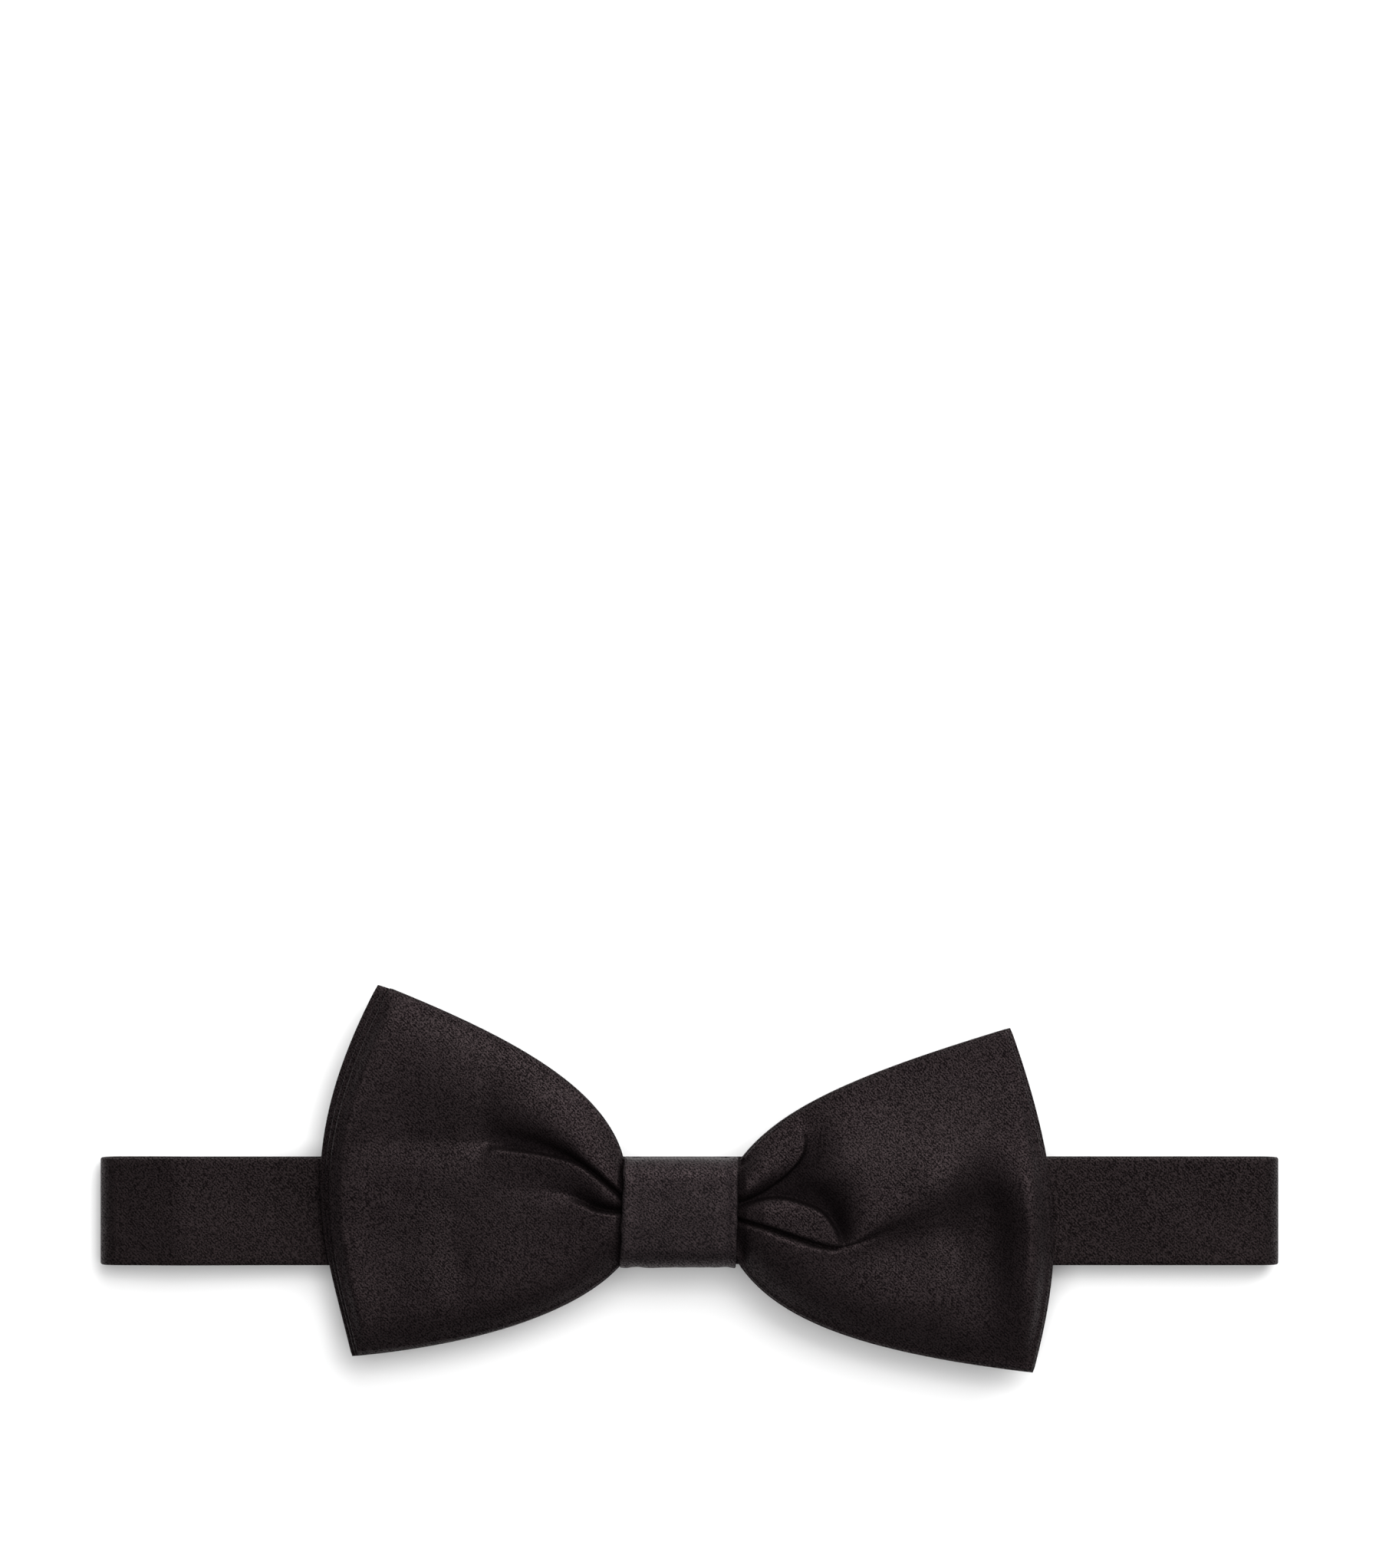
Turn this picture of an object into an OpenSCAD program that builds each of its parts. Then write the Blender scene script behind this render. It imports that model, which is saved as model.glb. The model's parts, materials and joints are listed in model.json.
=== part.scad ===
// Pre-tied bow tie on an adjustable neckband, lying flat with its front up.
// +X runs along the neckband, +Y is the top of the bow, +Z comes out of its front.
// Lengths are worked out from the middle of the knot, then the whole tie is moved
// so that the origin is under the middle of its outline, on the table.

/* [Neckband] */
// Width of the satin neckband
strap_w = 19; // [14:0.5:26]
// Thickness of the neckband, satin and interlining together
strap_t = 0.8; // [0.6:0.05:1.2]
// Thickness of the satin alone
satin_t = 0.2; // [0.1:0.05:0.25]
// From the middle of the knot to the left fold
left_reach = 102.8; // [84:0.1:130]
// From the middle of the knot to the right fold
right_reach = 105.9; // [84:0.1:130]
// Free height between the adjuster and the front of the neckband
front_gap = 0.9; // [0.5:0.1:3]

/* [Knot] */
// Width of the knot along the neckband
knot_w = 20.4; // [16:0.1:26]
// Height of the knot
knot_h = 19.2; // [15:0.1:24]
// Wall of the satin band that forms the knot
knot_wall = 0.8; // [0.5:0.1:1.2]
// Thickness of the lining under that band
lining_t = 0.4; // [0.2:0.1:0.8]
// Thickness of the thread wound round the waist of the bows
binding_t = 0.4; // [0.2:0.1:0.8]
// Width of that winding
binding_w = 7; // [3:0.5:12]

/* [Bow, left wing] */
// From the middle of the knot out to the top corner
left_top_x = 53.4; // [40:0.1:70]
// Height of the top corner above the middle of the knot
left_top_y = 39.9; // [28:0.1:50]
// From the middle of the knot out to the bottom corner
left_bottom_x = 57.9; // [40:0.1:72]
// Depth of the bottom corner below the middle of the knot
left_bottom_y = 25.2; // [18:0.1:36]
// How far the front bow stays inside the rear one at its end
left_step = 2.2; // [0.5:0.1:4]

/* [Bow, right wing] */
// From the middle of the knot out to the top corner
right_top_x = 58.1; // [40:0.1:72]
// Height of the top corner above the middle of the knot
right_top_y = 32.3; // [24:0.1:44]
// From the middle of the knot out to the bottom corner
right_bottom_x = 62.1; // [40:0.1:76]
// Depth of the bottom corner below the middle of the knot
right_bottom_y = 28.1; // [20:0.1:38]
// How far the front bow stays inside the rear one at its end
right_step = 0.9; // [0.3:0.1:4]

/* [Bow, layers] */
// Thickness of the rear bow, gathered in the knot
rear_waist_t = 3; // [2:0.1:4]
// Thickness of the front bow, gathered in the knot
front_waist_t = 3.4; // [2:0.1:4.5]
// Thickness of either bow at its ends
end_t = 2; // [1.4:0.1:3]
// How far the lobes of the front bow swell
lobe_lift = 3.6; // [1:0.1:6]
// Gap between two plies of a bow
ply_gap = 0.12; // [0.1:0.01:0.2]

/* [Adjuster and clasp] */
// Radius of the bars that the neckband turns round
bar_r = 0.5; // [0.4:0.05:0.8]
// Thickness of the hook and of the eye
plate_t = 0.8; // [0.6:0.05:1.2]
// Thickness of the outer bars of the slide
slide_bar_t = 0.6; // [0.4:0.05:1]
// Half the length of the slide along the neckband
slide_half = 6; // [5:0.5:9]
// Width of metal beside the neckband
cheek_w = 1.6; // [1:0.1:3]
// Width of the tongue of the hook
tongue_w = 10; // [7:0.5:13]
// Length of the hook from its bar to the bend of its tongue
hook_len = 15; // [12:0.5:20]
// Length of the window in the eye
window_len = 5; // [4.4:0.1:8]
// From the middle of the knot to the bar of the hook, at the longest setting
hook_bar_x = 31; // [25:0.5:40]
// From the middle of the knot to the bar of the slide, at the longest setting
slide_bar_x = -24; // [-32:0.5:-20]
// Gap between the hook and the eye, which lie unfastened
clasp_gap = 3; // [2:0.5:8]

/* [Hidden] */
$fn = 48;

SATIN = [0.14, 0.12, 0.13];
LINING = [0.30, 0.28, 0.27];
THREAD = [0.08, 0.07, 0.08];
NICKEL = [0.78, 0.78, 0.76];

fit = 0.1;            // clearance round whatever lies inside something else
slack = 0.3;          // side clearance between the neckband and the metal
stub = 1;             // how far a bar runs into the metal at its ends

// Heights, from the table up
main_z = slide_bar_t + fit;                  // ply that passes through the slide
loop_in = bar_r + fit;                       // inside of a turn round a bar
loop_out = loop_in + strap_t;                // outside of that turn
hook_bar_z = main_z + strap_t + loop_in;
return_z = hook_bar_z + loop_in;             // ply that runs back to the slide
slide_bar_z = return_z + strap_t + loop_in;
front_z = slide_bar_z + loop_out + front_gap;
eye_bar_z = strap_t + loop_in;
cavity_z = front_z - fit;                    // inside of the knot, at the back
knot_z = cavity_z - lining_t - knot_wall;
rear_z = front_z + strap_t + binding_t + 2 * fit;
front_bow_z = rear_z + rear_waist_t + fit;
waist_top_z = front_bow_z + front_waist_t;
cavity_top_z = waist_top_z + binding_t + 2 * fit;
knot_top_z = cavity_top_z + lining_t + knot_wall;

// Folds of the neckband
fold_out = (front_z + strap_t) / 2;
fold_in = fold_out - strap_t;
fold_z = fold_out;
left_fold_x = fold_out - left_reach;
right_fold_x = right_reach - fold_out;

// Left half of the neckband: flat on the table, a short ramp, then level
flat_len = 6;
ramp_len = 6;
ramp_start_x = left_fold_x + flat_len;
ramp_end_x = ramp_start_x + ramp_len;
left_band_end_x = ramp_end_x + 16;

// Clasp
cross_in = loop_out + 0.6;                   // from a bar to the crosspiece beyond it
cross_w = 2.4;
bend_r = 0.55;                               // inside of the bend of the hook
hook_tip_x = hook_bar_x + hook_len + bend_r + plate_t;
tongue_back = 6;                             // length of the turned-back tongue
end_bar_w = 1.6;                             // far bar of the eye, which the hook takes
eye_len = cross_in + cross_w + window_len + end_bar_w;
window_w = tongue_w + 1.6;
eye_bar_x = hook_tip_x + clasp_gap + eye_len;
metal_half = strap_w / 2 + slack + cheek_w;
tab_len = 9;                                 // sewn-back end of the neckband
tack_x = 5;                                  // from a bar to its bar tack
tack_len = 1.6;
tack_w = strap_w - 4;

// Inside of the knot
cavity_half = knot_h / 2 - knot_wall - lining_t;
waist_half = cavity_half - binding_t - 2 * fit;
strap_waist_w = min(strap_w, 2 * (cavity_half - fit));
wing_start = knot_w / 2 + 0.3;

// Shares of a bow's thickness where its plies end, and the share that a gap takes
backing_high = 0.32;
face_low = 0.68;
gap_share = ply_gap / end_t;

// Middle of the outline, which the origin is under
centre_x = (right_reach - left_reach) / 2;
centre_y = (max(left_top_y, right_top_y) - max(left_bottom_y, right_bottom_y)) / 2;

// Shape of the edges: the handles of each curve, as shares of its own span
// [top edge at the knot, at the corner, bottom edge at the knot, at the corner]
LEFT_HANDLES = [[0.056, 0.40], [0.59, 0.315], [0.143, 0.51], [0.50, 0.13]];
RIGHT_HANDLES = [[0.142, 0.42], [0.545, 0.33], [0.131, 0.565], [0.54, 0.167]];
LEFT_BELLY = [4.6, 16.1];                    // how far the end swells, low and high
RIGHT_BELLY = [4.7, 10.1];
BELLY_SHARES = [0.30, 0.47];                 // where it swells, as shares of the height
WING_CELLS = 11;                             // cells of a wing from the knot to its end
ROW_CELLS = 8;                               // cells from the bottom edge to the top

// A wing is [side, top corner, bottom corner, edge handles, belly]
function wing(side, top, bottom, step) = [side, top - [step, step / 4],
    bottom + [-step / 2, step / 4], side < 0 ? LEFT_HANDLES : RIGHT_HANDLES,
    side < 0 ? LEFT_BELLY : RIGHT_BELLY];
function left_wing(step) =
    wing(-1, [left_top_x, left_top_y], [left_bottom_x, -left_bottom_y], step);
function right_wing(step) =
    wing(1, [right_top_x, right_top_y], [right_bottom_x, -right_bottom_y], step);

function mix(a, b, t) = a + (b - a) * t;
function share(a, b, s) = [mix(a.x, b.x, s.x), mix(a.y, b.y, s.y)];
function bezier(a, b, c, d, t) = pow(1 - t, 3) * a + 3 * pow(1 - t, 2) * t * b
    + 3 * (1 - t) * t * t * c + pow(t, 3) * d;
function edge(a, d, h_start, h_end, t) =
    bezier(a, share(a, d, h_start), share(d, a, h_end), d, t);
function waist_corner(v) = [wing_start, mix(-waist_half, waist_half, v)];
function top_edge(w, u) = edge(waist_corner(1), w[1], w[3][0], w[3][1], u);
function bottom_edge(w, u) = edge(waist_corner(0), w[2], w[3][2], w[3][3], u);
function end_edge(w, v) = let (tall = w[1].y - w[2].y)
    bezier(w[2], w[2] + [w[4][0], tall * BELLY_SHARES[0]],
           w[1] + [w[4][1], -tall * BELLY_SHARES[1]], w[1], v);
// Place on a wing: u from the knot to the end, v from the bottom edge to the top
function wing_xy(w, u, v) = mix(bottom_edge(w, u), top_edge(w, u), v)
    + mix(waist_corner(v), end_edge(w, v), u)
    - mix(mix(waist_corner(0), w[2], u), mix(waist_corner(1), w[1], u), v);

// Height of the underside of a bow and its thickness at u, v
function swell(u, v) = sin(180 * sqrt(u)) * (1 - pow(2 * v - 1, 2));
function bow_thickness(front, u) = mix(front ? front_waist_t : rear_waist_t, end_t, u);
function bow_underside(front, u, v) = rear_z
    + (front ? bow_thickness(false, u) + fit + lobe_lift * swell(u, v) : 0);

function ply_point(front, w, u, v, level) = let (p = wing_xy(w, u, v))
    [w[0] * p.x, p.y, bow_underside(front, u, v) + bow_thickness(front, u) * level];

/* Places and small shapes */

module placed() {
    translate([-centre_x, -centre_y, 0]) children();
}

// A profile drawn in X and Z, made w wide and centred on the neckband
module across(w) {
    translate([0, w / 2, 0]) rotate([90, 0, 0]) linear_extrude(w) children();
}

// A straight ply of the neckband
module ply(x_from, x_to, z, w = strap_w) {
    translate([x_from, -w / 2, z]) cube([x_to - x_from, w, strap_t]);
}

// Half a turn of the neckband round the Y axis; side is -1 for a turn at its left end
module half_turn(outside, side) {
    across(strap_w) difference() {
        circle(outside);
        circle(outside - strap_t);
        translate([side < 0 ? 0 : -2 * outside, -2 * outside])
            square([2 * outside, 4 * outside]);
    }
}

module cross_bar() {
    rotate([90, 0, 0])
        cylinder(h = 2 * (strap_w / 2 + slack + stub), r = bar_r, center = true);
}

module rounded_box(w, x_len, z_low, z_high, r) {
    tall = z_high - z_low;
    translate([-x_len / 2, 0, (z_low + z_high) / 2]) rotate([90, 0, 90])
        linear_extrude(x_len) union() {
            square([w, tall - 2 * r], center = true);
            square([w - 2 * r, tall], center = true);
            for (y = [-1, 1], z = [-1, 1])
                translate([y * (w / 2 - r), z * (tall / 2 - r)]) circle(r);
        }
}

// One ply of a bow, from one share of its thickness to another. Both wings and the
// waist are one sheet. An inner ply stays a little inside the edges.
module bow_ply(front, level_low, level_high, inset = 0) {
    rows = ROW_CELLS + 1;
    wings = [left_wing(front ? left_step : 0), right_wing(front ? right_step : 0)];
    function inside(t, least) = min(max(t, least), 1 - inset);
    stations = concat([for (i = [WING_CELLS:-1:0]) [0, i / WING_CELLS]],
                      [for (i = [0:WING_CELLS]) [1, i / WING_CELLS]]);
    count = len(stations);
    layer = count * rows;
    points = [for (level = [level_low, level_high], s = stations, j = [0:ROW_CELLS])
        ply_point(front, wings[s[0]], inside(s[1], 0), inside(j / ROW_CELLS, inset), level)];
    function low(i, j) = i * rows + j;
    function high(i, j) = layer + low(i, j);
    last = count - 1;
    sheets = [for (i = [0:last - 1], j = [0:ROW_CELLS - 1]) each [
        [high(i, j), high(i, j + 1), high(i + 1, j + 1)],
        [high(i, j), high(i + 1, j + 1), high(i + 1, j)],
        [low(i, j), low(i + 1, j), low(i + 1, j + 1)],
        [low(i, j), low(i + 1, j + 1), low(i, j + 1)]]];
    long_sides = [for (i = [0:last - 1]) each [
        [low(i, 0), high(i, 0), high(i + 1, 0)],
        [low(i, 0), high(i + 1, 0), low(i + 1, 0)],
        [low(i, ROW_CELLS), high(i + 1, ROW_CELLS), high(i, ROW_CELLS)],
        [low(i, ROW_CELLS), low(i + 1, ROW_CELLS), high(i + 1, ROW_CELLS)]]];
    ends = [for (j = [0:ROW_CELLS - 1]) each [
        [low(0, j), high(0, j + 1), high(0, j)],
        [low(0, j), low(0, j + 1), high(0, j + 1)],
        [low(last, j), high(last, j), high(last, j + 1)],
        [low(last, j), high(last, j + 1), low(last, j + 1)]]];
    polyhedron(points = points, faces = concat(sheets, long_sides, ends));
}

/* The bows */

module front_bow_face() {
    color(SATIN) placed() bow_ply(true, face_low, 1);
}

module front_bow_interlining() {
    color(LINING) placed()
        bow_ply(true, backing_high + gap_share, face_low - gap_share, 0.02);
}

module front_bow_backing() {
    color(SATIN) placed() bow_ply(true, 0, backing_high);
}

module rear_bow_face() {
    color(SATIN) placed() bow_ply(false, face_low, 1);
}

module rear_bow_interlining() {
    color(LINING) placed()
        bow_ply(false, backing_high + gap_share, face_low - gap_share, 0.02);
}

module rear_bow_backing() {
    color(SATIN) placed() bow_ply(false, 0, backing_high);
}

/* The knot */

module waist_binding() {
    inner_w = 2 * waist_half + fit;
    inner_z = [rear_z - fit / 2, waist_top_z + fit / 2];
    color(THREAD) placed() difference() {
        rounded_box(inner_w + 2 * binding_t, binding_w, inner_z[0] - binding_t,
                    inner_z[1] + binding_t, binding_t);
        translate([-binding_w, -inner_w / 2, inner_z[0]])
            cube([2 * binding_w, inner_w, inner_z[1] - inner_z[0]]);
    }
}

knot_corner = knot_wall + lining_t + 0.3;

module knot_band() {
    hole_w = knot_h - 2 * knot_wall;
    color(SATIN) placed() difference() {
        rounded_box(knot_h, knot_w, knot_z, knot_top_z, knot_corner);
        rounded_box(hole_w, 2 * knot_w, knot_z + knot_wall, knot_top_z - knot_wall,
                    knot_corner - knot_wall);
    }
}

module knot_lining() {
    outer_w = knot_h - 2 * knot_wall;
    color(LINING) placed() difference() {
        rounded_box(outer_w, knot_w - 1, knot_z + knot_wall, knot_top_z - knot_wall,
                    knot_corner - knot_wall);
        rounded_box(outer_w - 2 * lining_t, knot_w, cavity_z, cavity_top_z,
                    knot_corner - knot_wall - lining_t);
    }
}

// Hand stitches that close the knot along its back
module knot_stitches() {
    stitches = 7;
    stitch = [2, 0.5, 0.15];
    pitch = (knot_w - 4) / (stitches - 1);
    color(THREAD) placed() for (i = [0:stitches - 1])
        translate([(i - (stitches - 1) / 2) * pitch, 0, knot_z - stitch.z / 2])
            rotate([0, 0, 55]) cube(stitch, center = true);
}

/* The neckband */

// Outline of the front stretch, drawn in where it passes through the knot
module front_outline(inset, x_from, x_to) {
    wide = strap_w / 2 - inset;
    narrow = strap_waist_w / 2 - inset;
    shoulder = knot_w / 2 + 0.5;
    full = shoulder + 6;
    polygon([[x_from, -wide], [-full, -wide], [-shoulder, -narrow], [shoulder, -narrow],
             [full, -wide], [x_to, -wide], [x_to, wide], [full, wide],
             [shoulder, narrow], [-shoulder, narrow], [-full, wide], [x_from, wide]]);
}

module neckband_front() {
    color(SATIN) placed() translate([0, 0, front_z]) difference() {
        linear_extrude(strap_t) front_outline(0, left_fold_x, right_fold_x);
        translate([0, 0, satin_t]) linear_extrude(strap_t - 2 * satin_t)
            front_outline(satin_t, left_fold_x - 1, right_fold_x + 1);
    }
}

module neckband_front_interlining() {
    inset = fit / 2;
    color(LINING) placed() translate([0, 0, front_z + satin_t + inset])
        linear_extrude(strap_t - 2 * (satin_t + inset))
            front_outline(satin_t + inset, left_fold_x + 0.5, right_fold_x - 0.5);
}

module left_fold() {
    color(SATIN) placed() translate([left_fold_x, 0, fold_z]) half_turn(fold_out, -1);
}

module right_fold() {
    color(SATIN) placed() translate([right_fold_x, 0, fold_z]) half_turn(fold_out, 1);
}

// Profile of the left half, a layer of it from low to high in the thickness
module left_profile(low, high, trim) {
    polygon([[left_fold_x + trim, low], [ramp_start_x, low], [ramp_end_x, main_z + low],
             [left_band_end_x, main_z + low], [left_band_end_x, main_z + high],
             [ramp_end_x, main_z + high], [ramp_start_x, high], [left_fold_x + trim, high]]);
}

module neckband_left() {
    color(SATIN) placed() difference() {
        across(strap_w) left_profile(0, strap_t, 0);
        across(strap_w - 2 * satin_t) left_profile(satin_t, strap_t - satin_t, -1);
    }
}

module neckband_left_interlining() {
    inset = satin_t + fit / 2;
    color(LINING) placed()
        across(strap_w - 2 * inset) left_profile(inset, strap_t - inset, 0.5);
}

module neckband_right() {
    color(SATIN) placed() difference() {
        ply(eye_bar_x, right_fold_x, 0);
        translate([eye_bar_x - 1, satin_t - strap_w / 2, satin_t])
            cube([right_fold_x - eye_bar_x + 2, strap_w - 2 * satin_t,
                  strap_t - 2 * satin_t]);
    }
}

module neckband_right_interlining() {
    inset = satin_t + fit / 2;
    color(LINING) placed() translate([eye_bar_x + 0.5, inset - strap_w / 2, inset])
        cube([right_fold_x - eye_bar_x - 1, strap_w - 2 * inset, strap_t - 2 * inset]);
}

/* The adjuster */

module adjuster_main_ply() {
    color(SATIN) placed() ply(left_band_end_x, hook_bar_x, main_z);
}

module hook_bight() {
    color(SATIN) placed()
        translate([hook_bar_x, 0, hook_bar_z]) half_turn(loop_out, 1);
}

module adjuster_return_ply() {
    color(SATIN) placed() ply(slide_bar_x + tab_len, hook_bar_x, return_z);
}

// The end of the neckband, taken round the bar of the slide and sewn down
module slide_strap_end() {
    color(SATIN) placed() union() {
        translate([slide_bar_x, 0, slide_bar_z]) half_turn(loop_out, -1);
        ply(slide_bar_x, slide_bar_x + tab_len, return_z);
        ply(slide_bar_x, slide_bar_x + tab_len, slide_bar_z + loop_in);
    }
}

module bar_tack(x, z) {
    translate([x - tack_len / 2, -tack_w / 2, z]) cube([tack_len, tack_w, 2 * loop_in]);
}

module slide_bar_tack() {
    color(THREAD) placed() bar_tack(slide_bar_x + tack_x, return_z + strap_t);
}

// A slide with two low bars under the neckband and a raised bar over it
module slide_adjuster() {
    crown = bar_r + 0.6;                     // metal round the ends of the raised bar
    cheek_z = slide_bar_z + bar_r;
    color(NICKEL) placed() translate([slide_bar_x, 0, 0]) union() {
        difference() {
            across(2 * metal_half) polygon([[-slide_half, 0], [slide_half, 0],
                [slide_half, 2 * slide_bar_t], [crown, cheek_z], [-crown, cheek_z],
                [-slide_half, 2 * slide_bar_t]]);
            across(2 * (metal_half - cheek_w)) translate([-2 * slide_half, -1])
                square([4 * slide_half, cheek_z + 2]);
        }
        for (x = [-slide_half, slide_half - cheek_w])
            translate([x, -metal_half, 0])
                cube([cheek_w, 2 * metal_half, slide_bar_t]);
        translate([0, 0, slide_bar_z]) cross_bar();
    }
}

/* The clasp */

// Bar, side arms and crosspiece that hold the neckband, on the +X side of the bar
module strap_frame() {
    arm_in = metal_half - cheek_w;
    cross_bar();
    translate([0, 0, -plate_t / 2]) {
        for (y = [-metal_half, arm_in])
            translate([-bar_r, y, 0]) cube([cross_in + cross_w + bar_r, cheek_w, plate_t]);
        translate([cross_in, -metal_half, 0])
            cube([cross_w, 2 * metal_half, plate_t]);
    }
}

module hook() {
    shoulder_x = cross_in + cross_w;
    bend_out = bend_r + plate_t;
    bend_z = plate_t / 2 + bend_r;
    color(NICKEL) placed() translate([hook_bar_x, 0, hook_bar_z]) union() {
        strap_frame();
        translate([0, 0, -plate_t / 2]) linear_extrude(plate_t)
            polygon([[shoulder_x - 1, -tongue_w * 0.8], [shoulder_x, -tongue_w * 0.8],
                     [shoulder_x + 3, -tongue_w / 2], [hook_len, -tongue_w / 2],
                     [hook_len, tongue_w / 2], [shoulder_x + 3, tongue_w / 2],
                     [shoulder_x, tongue_w * 0.8], [shoulder_x - 1, tongue_w * 0.8]]);
        across(tongue_w) translate([hook_len, bend_z]) difference() {
            circle(bend_out);
            circle(bend_r);
            translate([-2 * bend_out, -2 * bend_out])
                square([2 * bend_out, 4 * bend_out]);
        }
        translate([hook_len - tongue_back, -tongue_w / 2, bend_z + bend_r])
            cube([tongue_back, tongue_w, plate_t]);
    }
}

module eye() {
    ring_w = window_w + 2 * cross_w;
    ring_start = cross_in;
    color(NICKEL) placed() translate([eye_bar_x, 0, eye_bar_z]) mirror([1, 0, 0]) union() {
        strap_frame();
        difference() {
            translate([ring_start, -ring_w / 2, -plate_t / 2])
                cube([eye_len - ring_start, ring_w, plate_t]);
            translate([cross_in + cross_w, -window_w / 2, -plate_t])
                cube([window_len, window_w, 2 * plate_t]);
        }
    }
}

// Turn of the right half round the bar of the eye, with its sewn-back end
module eye_strap_loop() {
    color(SATIN) placed() union() {
        translate([eye_bar_x, 0, eye_bar_z]) half_turn(loop_out, -1);
        ply(eye_bar_x, eye_bar_x + tab_len, eye_bar_z + loop_in);
    }
}

module eye_bar_tack() {
    color(THREAD) placed() bar_tack(eye_bar_x + tack_x, strap_t);
}

front_bow_face();
front_bow_interlining();
front_bow_backing();
rear_bow_face();
rear_bow_interlining();
rear_bow_backing();
waist_binding();
knot_band();
knot_lining();
knot_stitches();
neckband_front();
neckband_front_interlining();
left_fold();
neckband_left();
neckband_left_interlining();
adjuster_main_ply();
hook_bight();
adjuster_return_ply();
slide_adjuster();
slide_strap_end();
slide_bar_tack();
hook();
right_fold();
neckband_right();
neckband_right_interlining();
eye_strap_loop();
eye_bar_tack();
eye();
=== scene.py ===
"""Visual model of a pre-tied satin bow tie on an adjustable neckband, built round its CAD frame.

The tie lies flat with its front up: +X runs along the neckband, +Y is the top of the bow and +Z
comes out of its front. Shapes are worked out in millimetres from the middle of the knot, and the
function place() puts them into the frame, in metres.
"""
import json
import math

import bpy
import numpy as np
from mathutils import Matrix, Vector


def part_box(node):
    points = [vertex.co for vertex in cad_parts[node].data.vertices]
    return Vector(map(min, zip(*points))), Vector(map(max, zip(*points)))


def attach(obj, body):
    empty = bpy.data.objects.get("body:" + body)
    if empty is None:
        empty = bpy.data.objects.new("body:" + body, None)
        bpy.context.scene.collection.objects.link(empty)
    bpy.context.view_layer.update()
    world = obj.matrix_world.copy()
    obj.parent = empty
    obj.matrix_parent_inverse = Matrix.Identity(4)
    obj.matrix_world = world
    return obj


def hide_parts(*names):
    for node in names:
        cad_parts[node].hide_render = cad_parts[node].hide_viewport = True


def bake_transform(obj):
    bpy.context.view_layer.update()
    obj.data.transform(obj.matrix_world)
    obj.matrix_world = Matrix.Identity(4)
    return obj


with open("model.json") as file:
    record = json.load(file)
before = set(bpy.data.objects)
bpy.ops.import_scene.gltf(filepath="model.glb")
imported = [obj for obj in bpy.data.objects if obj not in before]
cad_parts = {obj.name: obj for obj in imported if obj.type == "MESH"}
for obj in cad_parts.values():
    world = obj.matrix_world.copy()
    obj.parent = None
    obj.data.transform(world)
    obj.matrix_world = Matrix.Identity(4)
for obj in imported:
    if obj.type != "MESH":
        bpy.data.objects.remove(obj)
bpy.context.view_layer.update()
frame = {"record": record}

MM = 0.001


# ---------------------------------------------------------------- measures from the frame

def node_box(node):
    """Lowest and highest corner of a CAD node, in millimetres from the middle of the knot."""
    low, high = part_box(node)
    shift = np.array([KNOT.x, KNOT.y, 0.0])
    return (np.array(low) - shift) / MM, (np.array(high) - shift) / MM


knot_low, knot_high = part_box("knot_band")
KNOT = (Vector(knot_low) + Vector(knot_high)) / 2
KNOT_LOW, KNOT_HIGH = node_box("knot_band")
KNOT_HALF_W = KNOT_HIGH[0]
KNOT_HALF_H = KNOT_HIGH[1]

front_low, front_high = node_box("neckband_front")
FRONT_Z = front_low[2]
STRAP_T = front_high[2] - front_low[2]
STRAP_HALF = front_high[1]
FOLD_OUT = (FRONT_Z + STRAP_T) / 2
FOLD_MID = FOLD_OUT - STRAP_T / 2
LEFT_FOLD_X = front_low[0]
RIGHT_FOLD_X = front_high[0]

REAR_Z = node_box("rear_bow_backing")[0][2]
REAR_WAIST_Z = node_box("rear_bow_face")[1][2]
LEFT_END_X = node_box("neckband_left")[1][0]
MAIN_Z = node_box("adjuster_main_ply")[0][2] + STRAP_T / 2
TACK_LOW, TACK_HIGH = node_box("slide_bar_tack")
EYE_TACK_LOW, EYE_TACK_HIGH = node_box("eye_bar_tack")
HOOK_LOW, HOOK_HIGH = node_box("hook")
EYE_LOW = node_box("eye")[0]
SLIDE_LOW, SLIDE_HIGH = node_box("slide_adjuster")
TAB_END_X = node_box("slide_strap_end")[1][0]
EYE_TAB_END_X = node_box("eye_strap_loop")[1][0]


def pivot(joint):
    """Where a joint's axis crosses the middle plane, as (x, z)."""
    found = [j for j in frame["record"]["behaviour"]["joints"] if j["name"] == joint][0]
    at = (np.array(found["pos_m"]) - [KNOT.x, KNOT.y, 0]) / MM
    return at[0], at[2]


HOOK_BAR = pivot("hook_pivot")
EYE_BAR = pivot("eye_pivot")
BAR_R = HOOK_BAR[0] - HOOK_LOW[0]
SLIDE_BAR = ((SLIDE_LOW[0] + SLIDE_HIGH[0]) / 2, SLIDE_HIGH[2] - BAR_R)


def place(points):
    """Points in millimetres from the middle of the knot, as metres in the frame."""
    return np.asarray(points, float) * MM + np.array([KNOT.x, KNOT.y, 0.0])


# ---------------------------------------------------------------- curves and fields

def mix(a, b, t):
    return a + (b - a) * t


def smooth(t, low=0.0, high=1.0):
    t = np.clip((np.asarray(t, float) - low) / (high - low), 0, 1)
    return t * t * (3 - 2 * t)


def unit(vectors):
    return vectors / np.linalg.norm(vectors, axis=1)[:, None]


def bezier(a, b, c, d, t):
    t = np.asarray(t, float)[..., None]
    a, b, c, d = (np.asarray(p, float) for p in (a, b, c, d))
    return ((1 - t) ** 3 * a + 3 * (1 - t) ** 2 * t * b
            + 3 * (1 - t) * t * t * c + t ** 3 * d)


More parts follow.
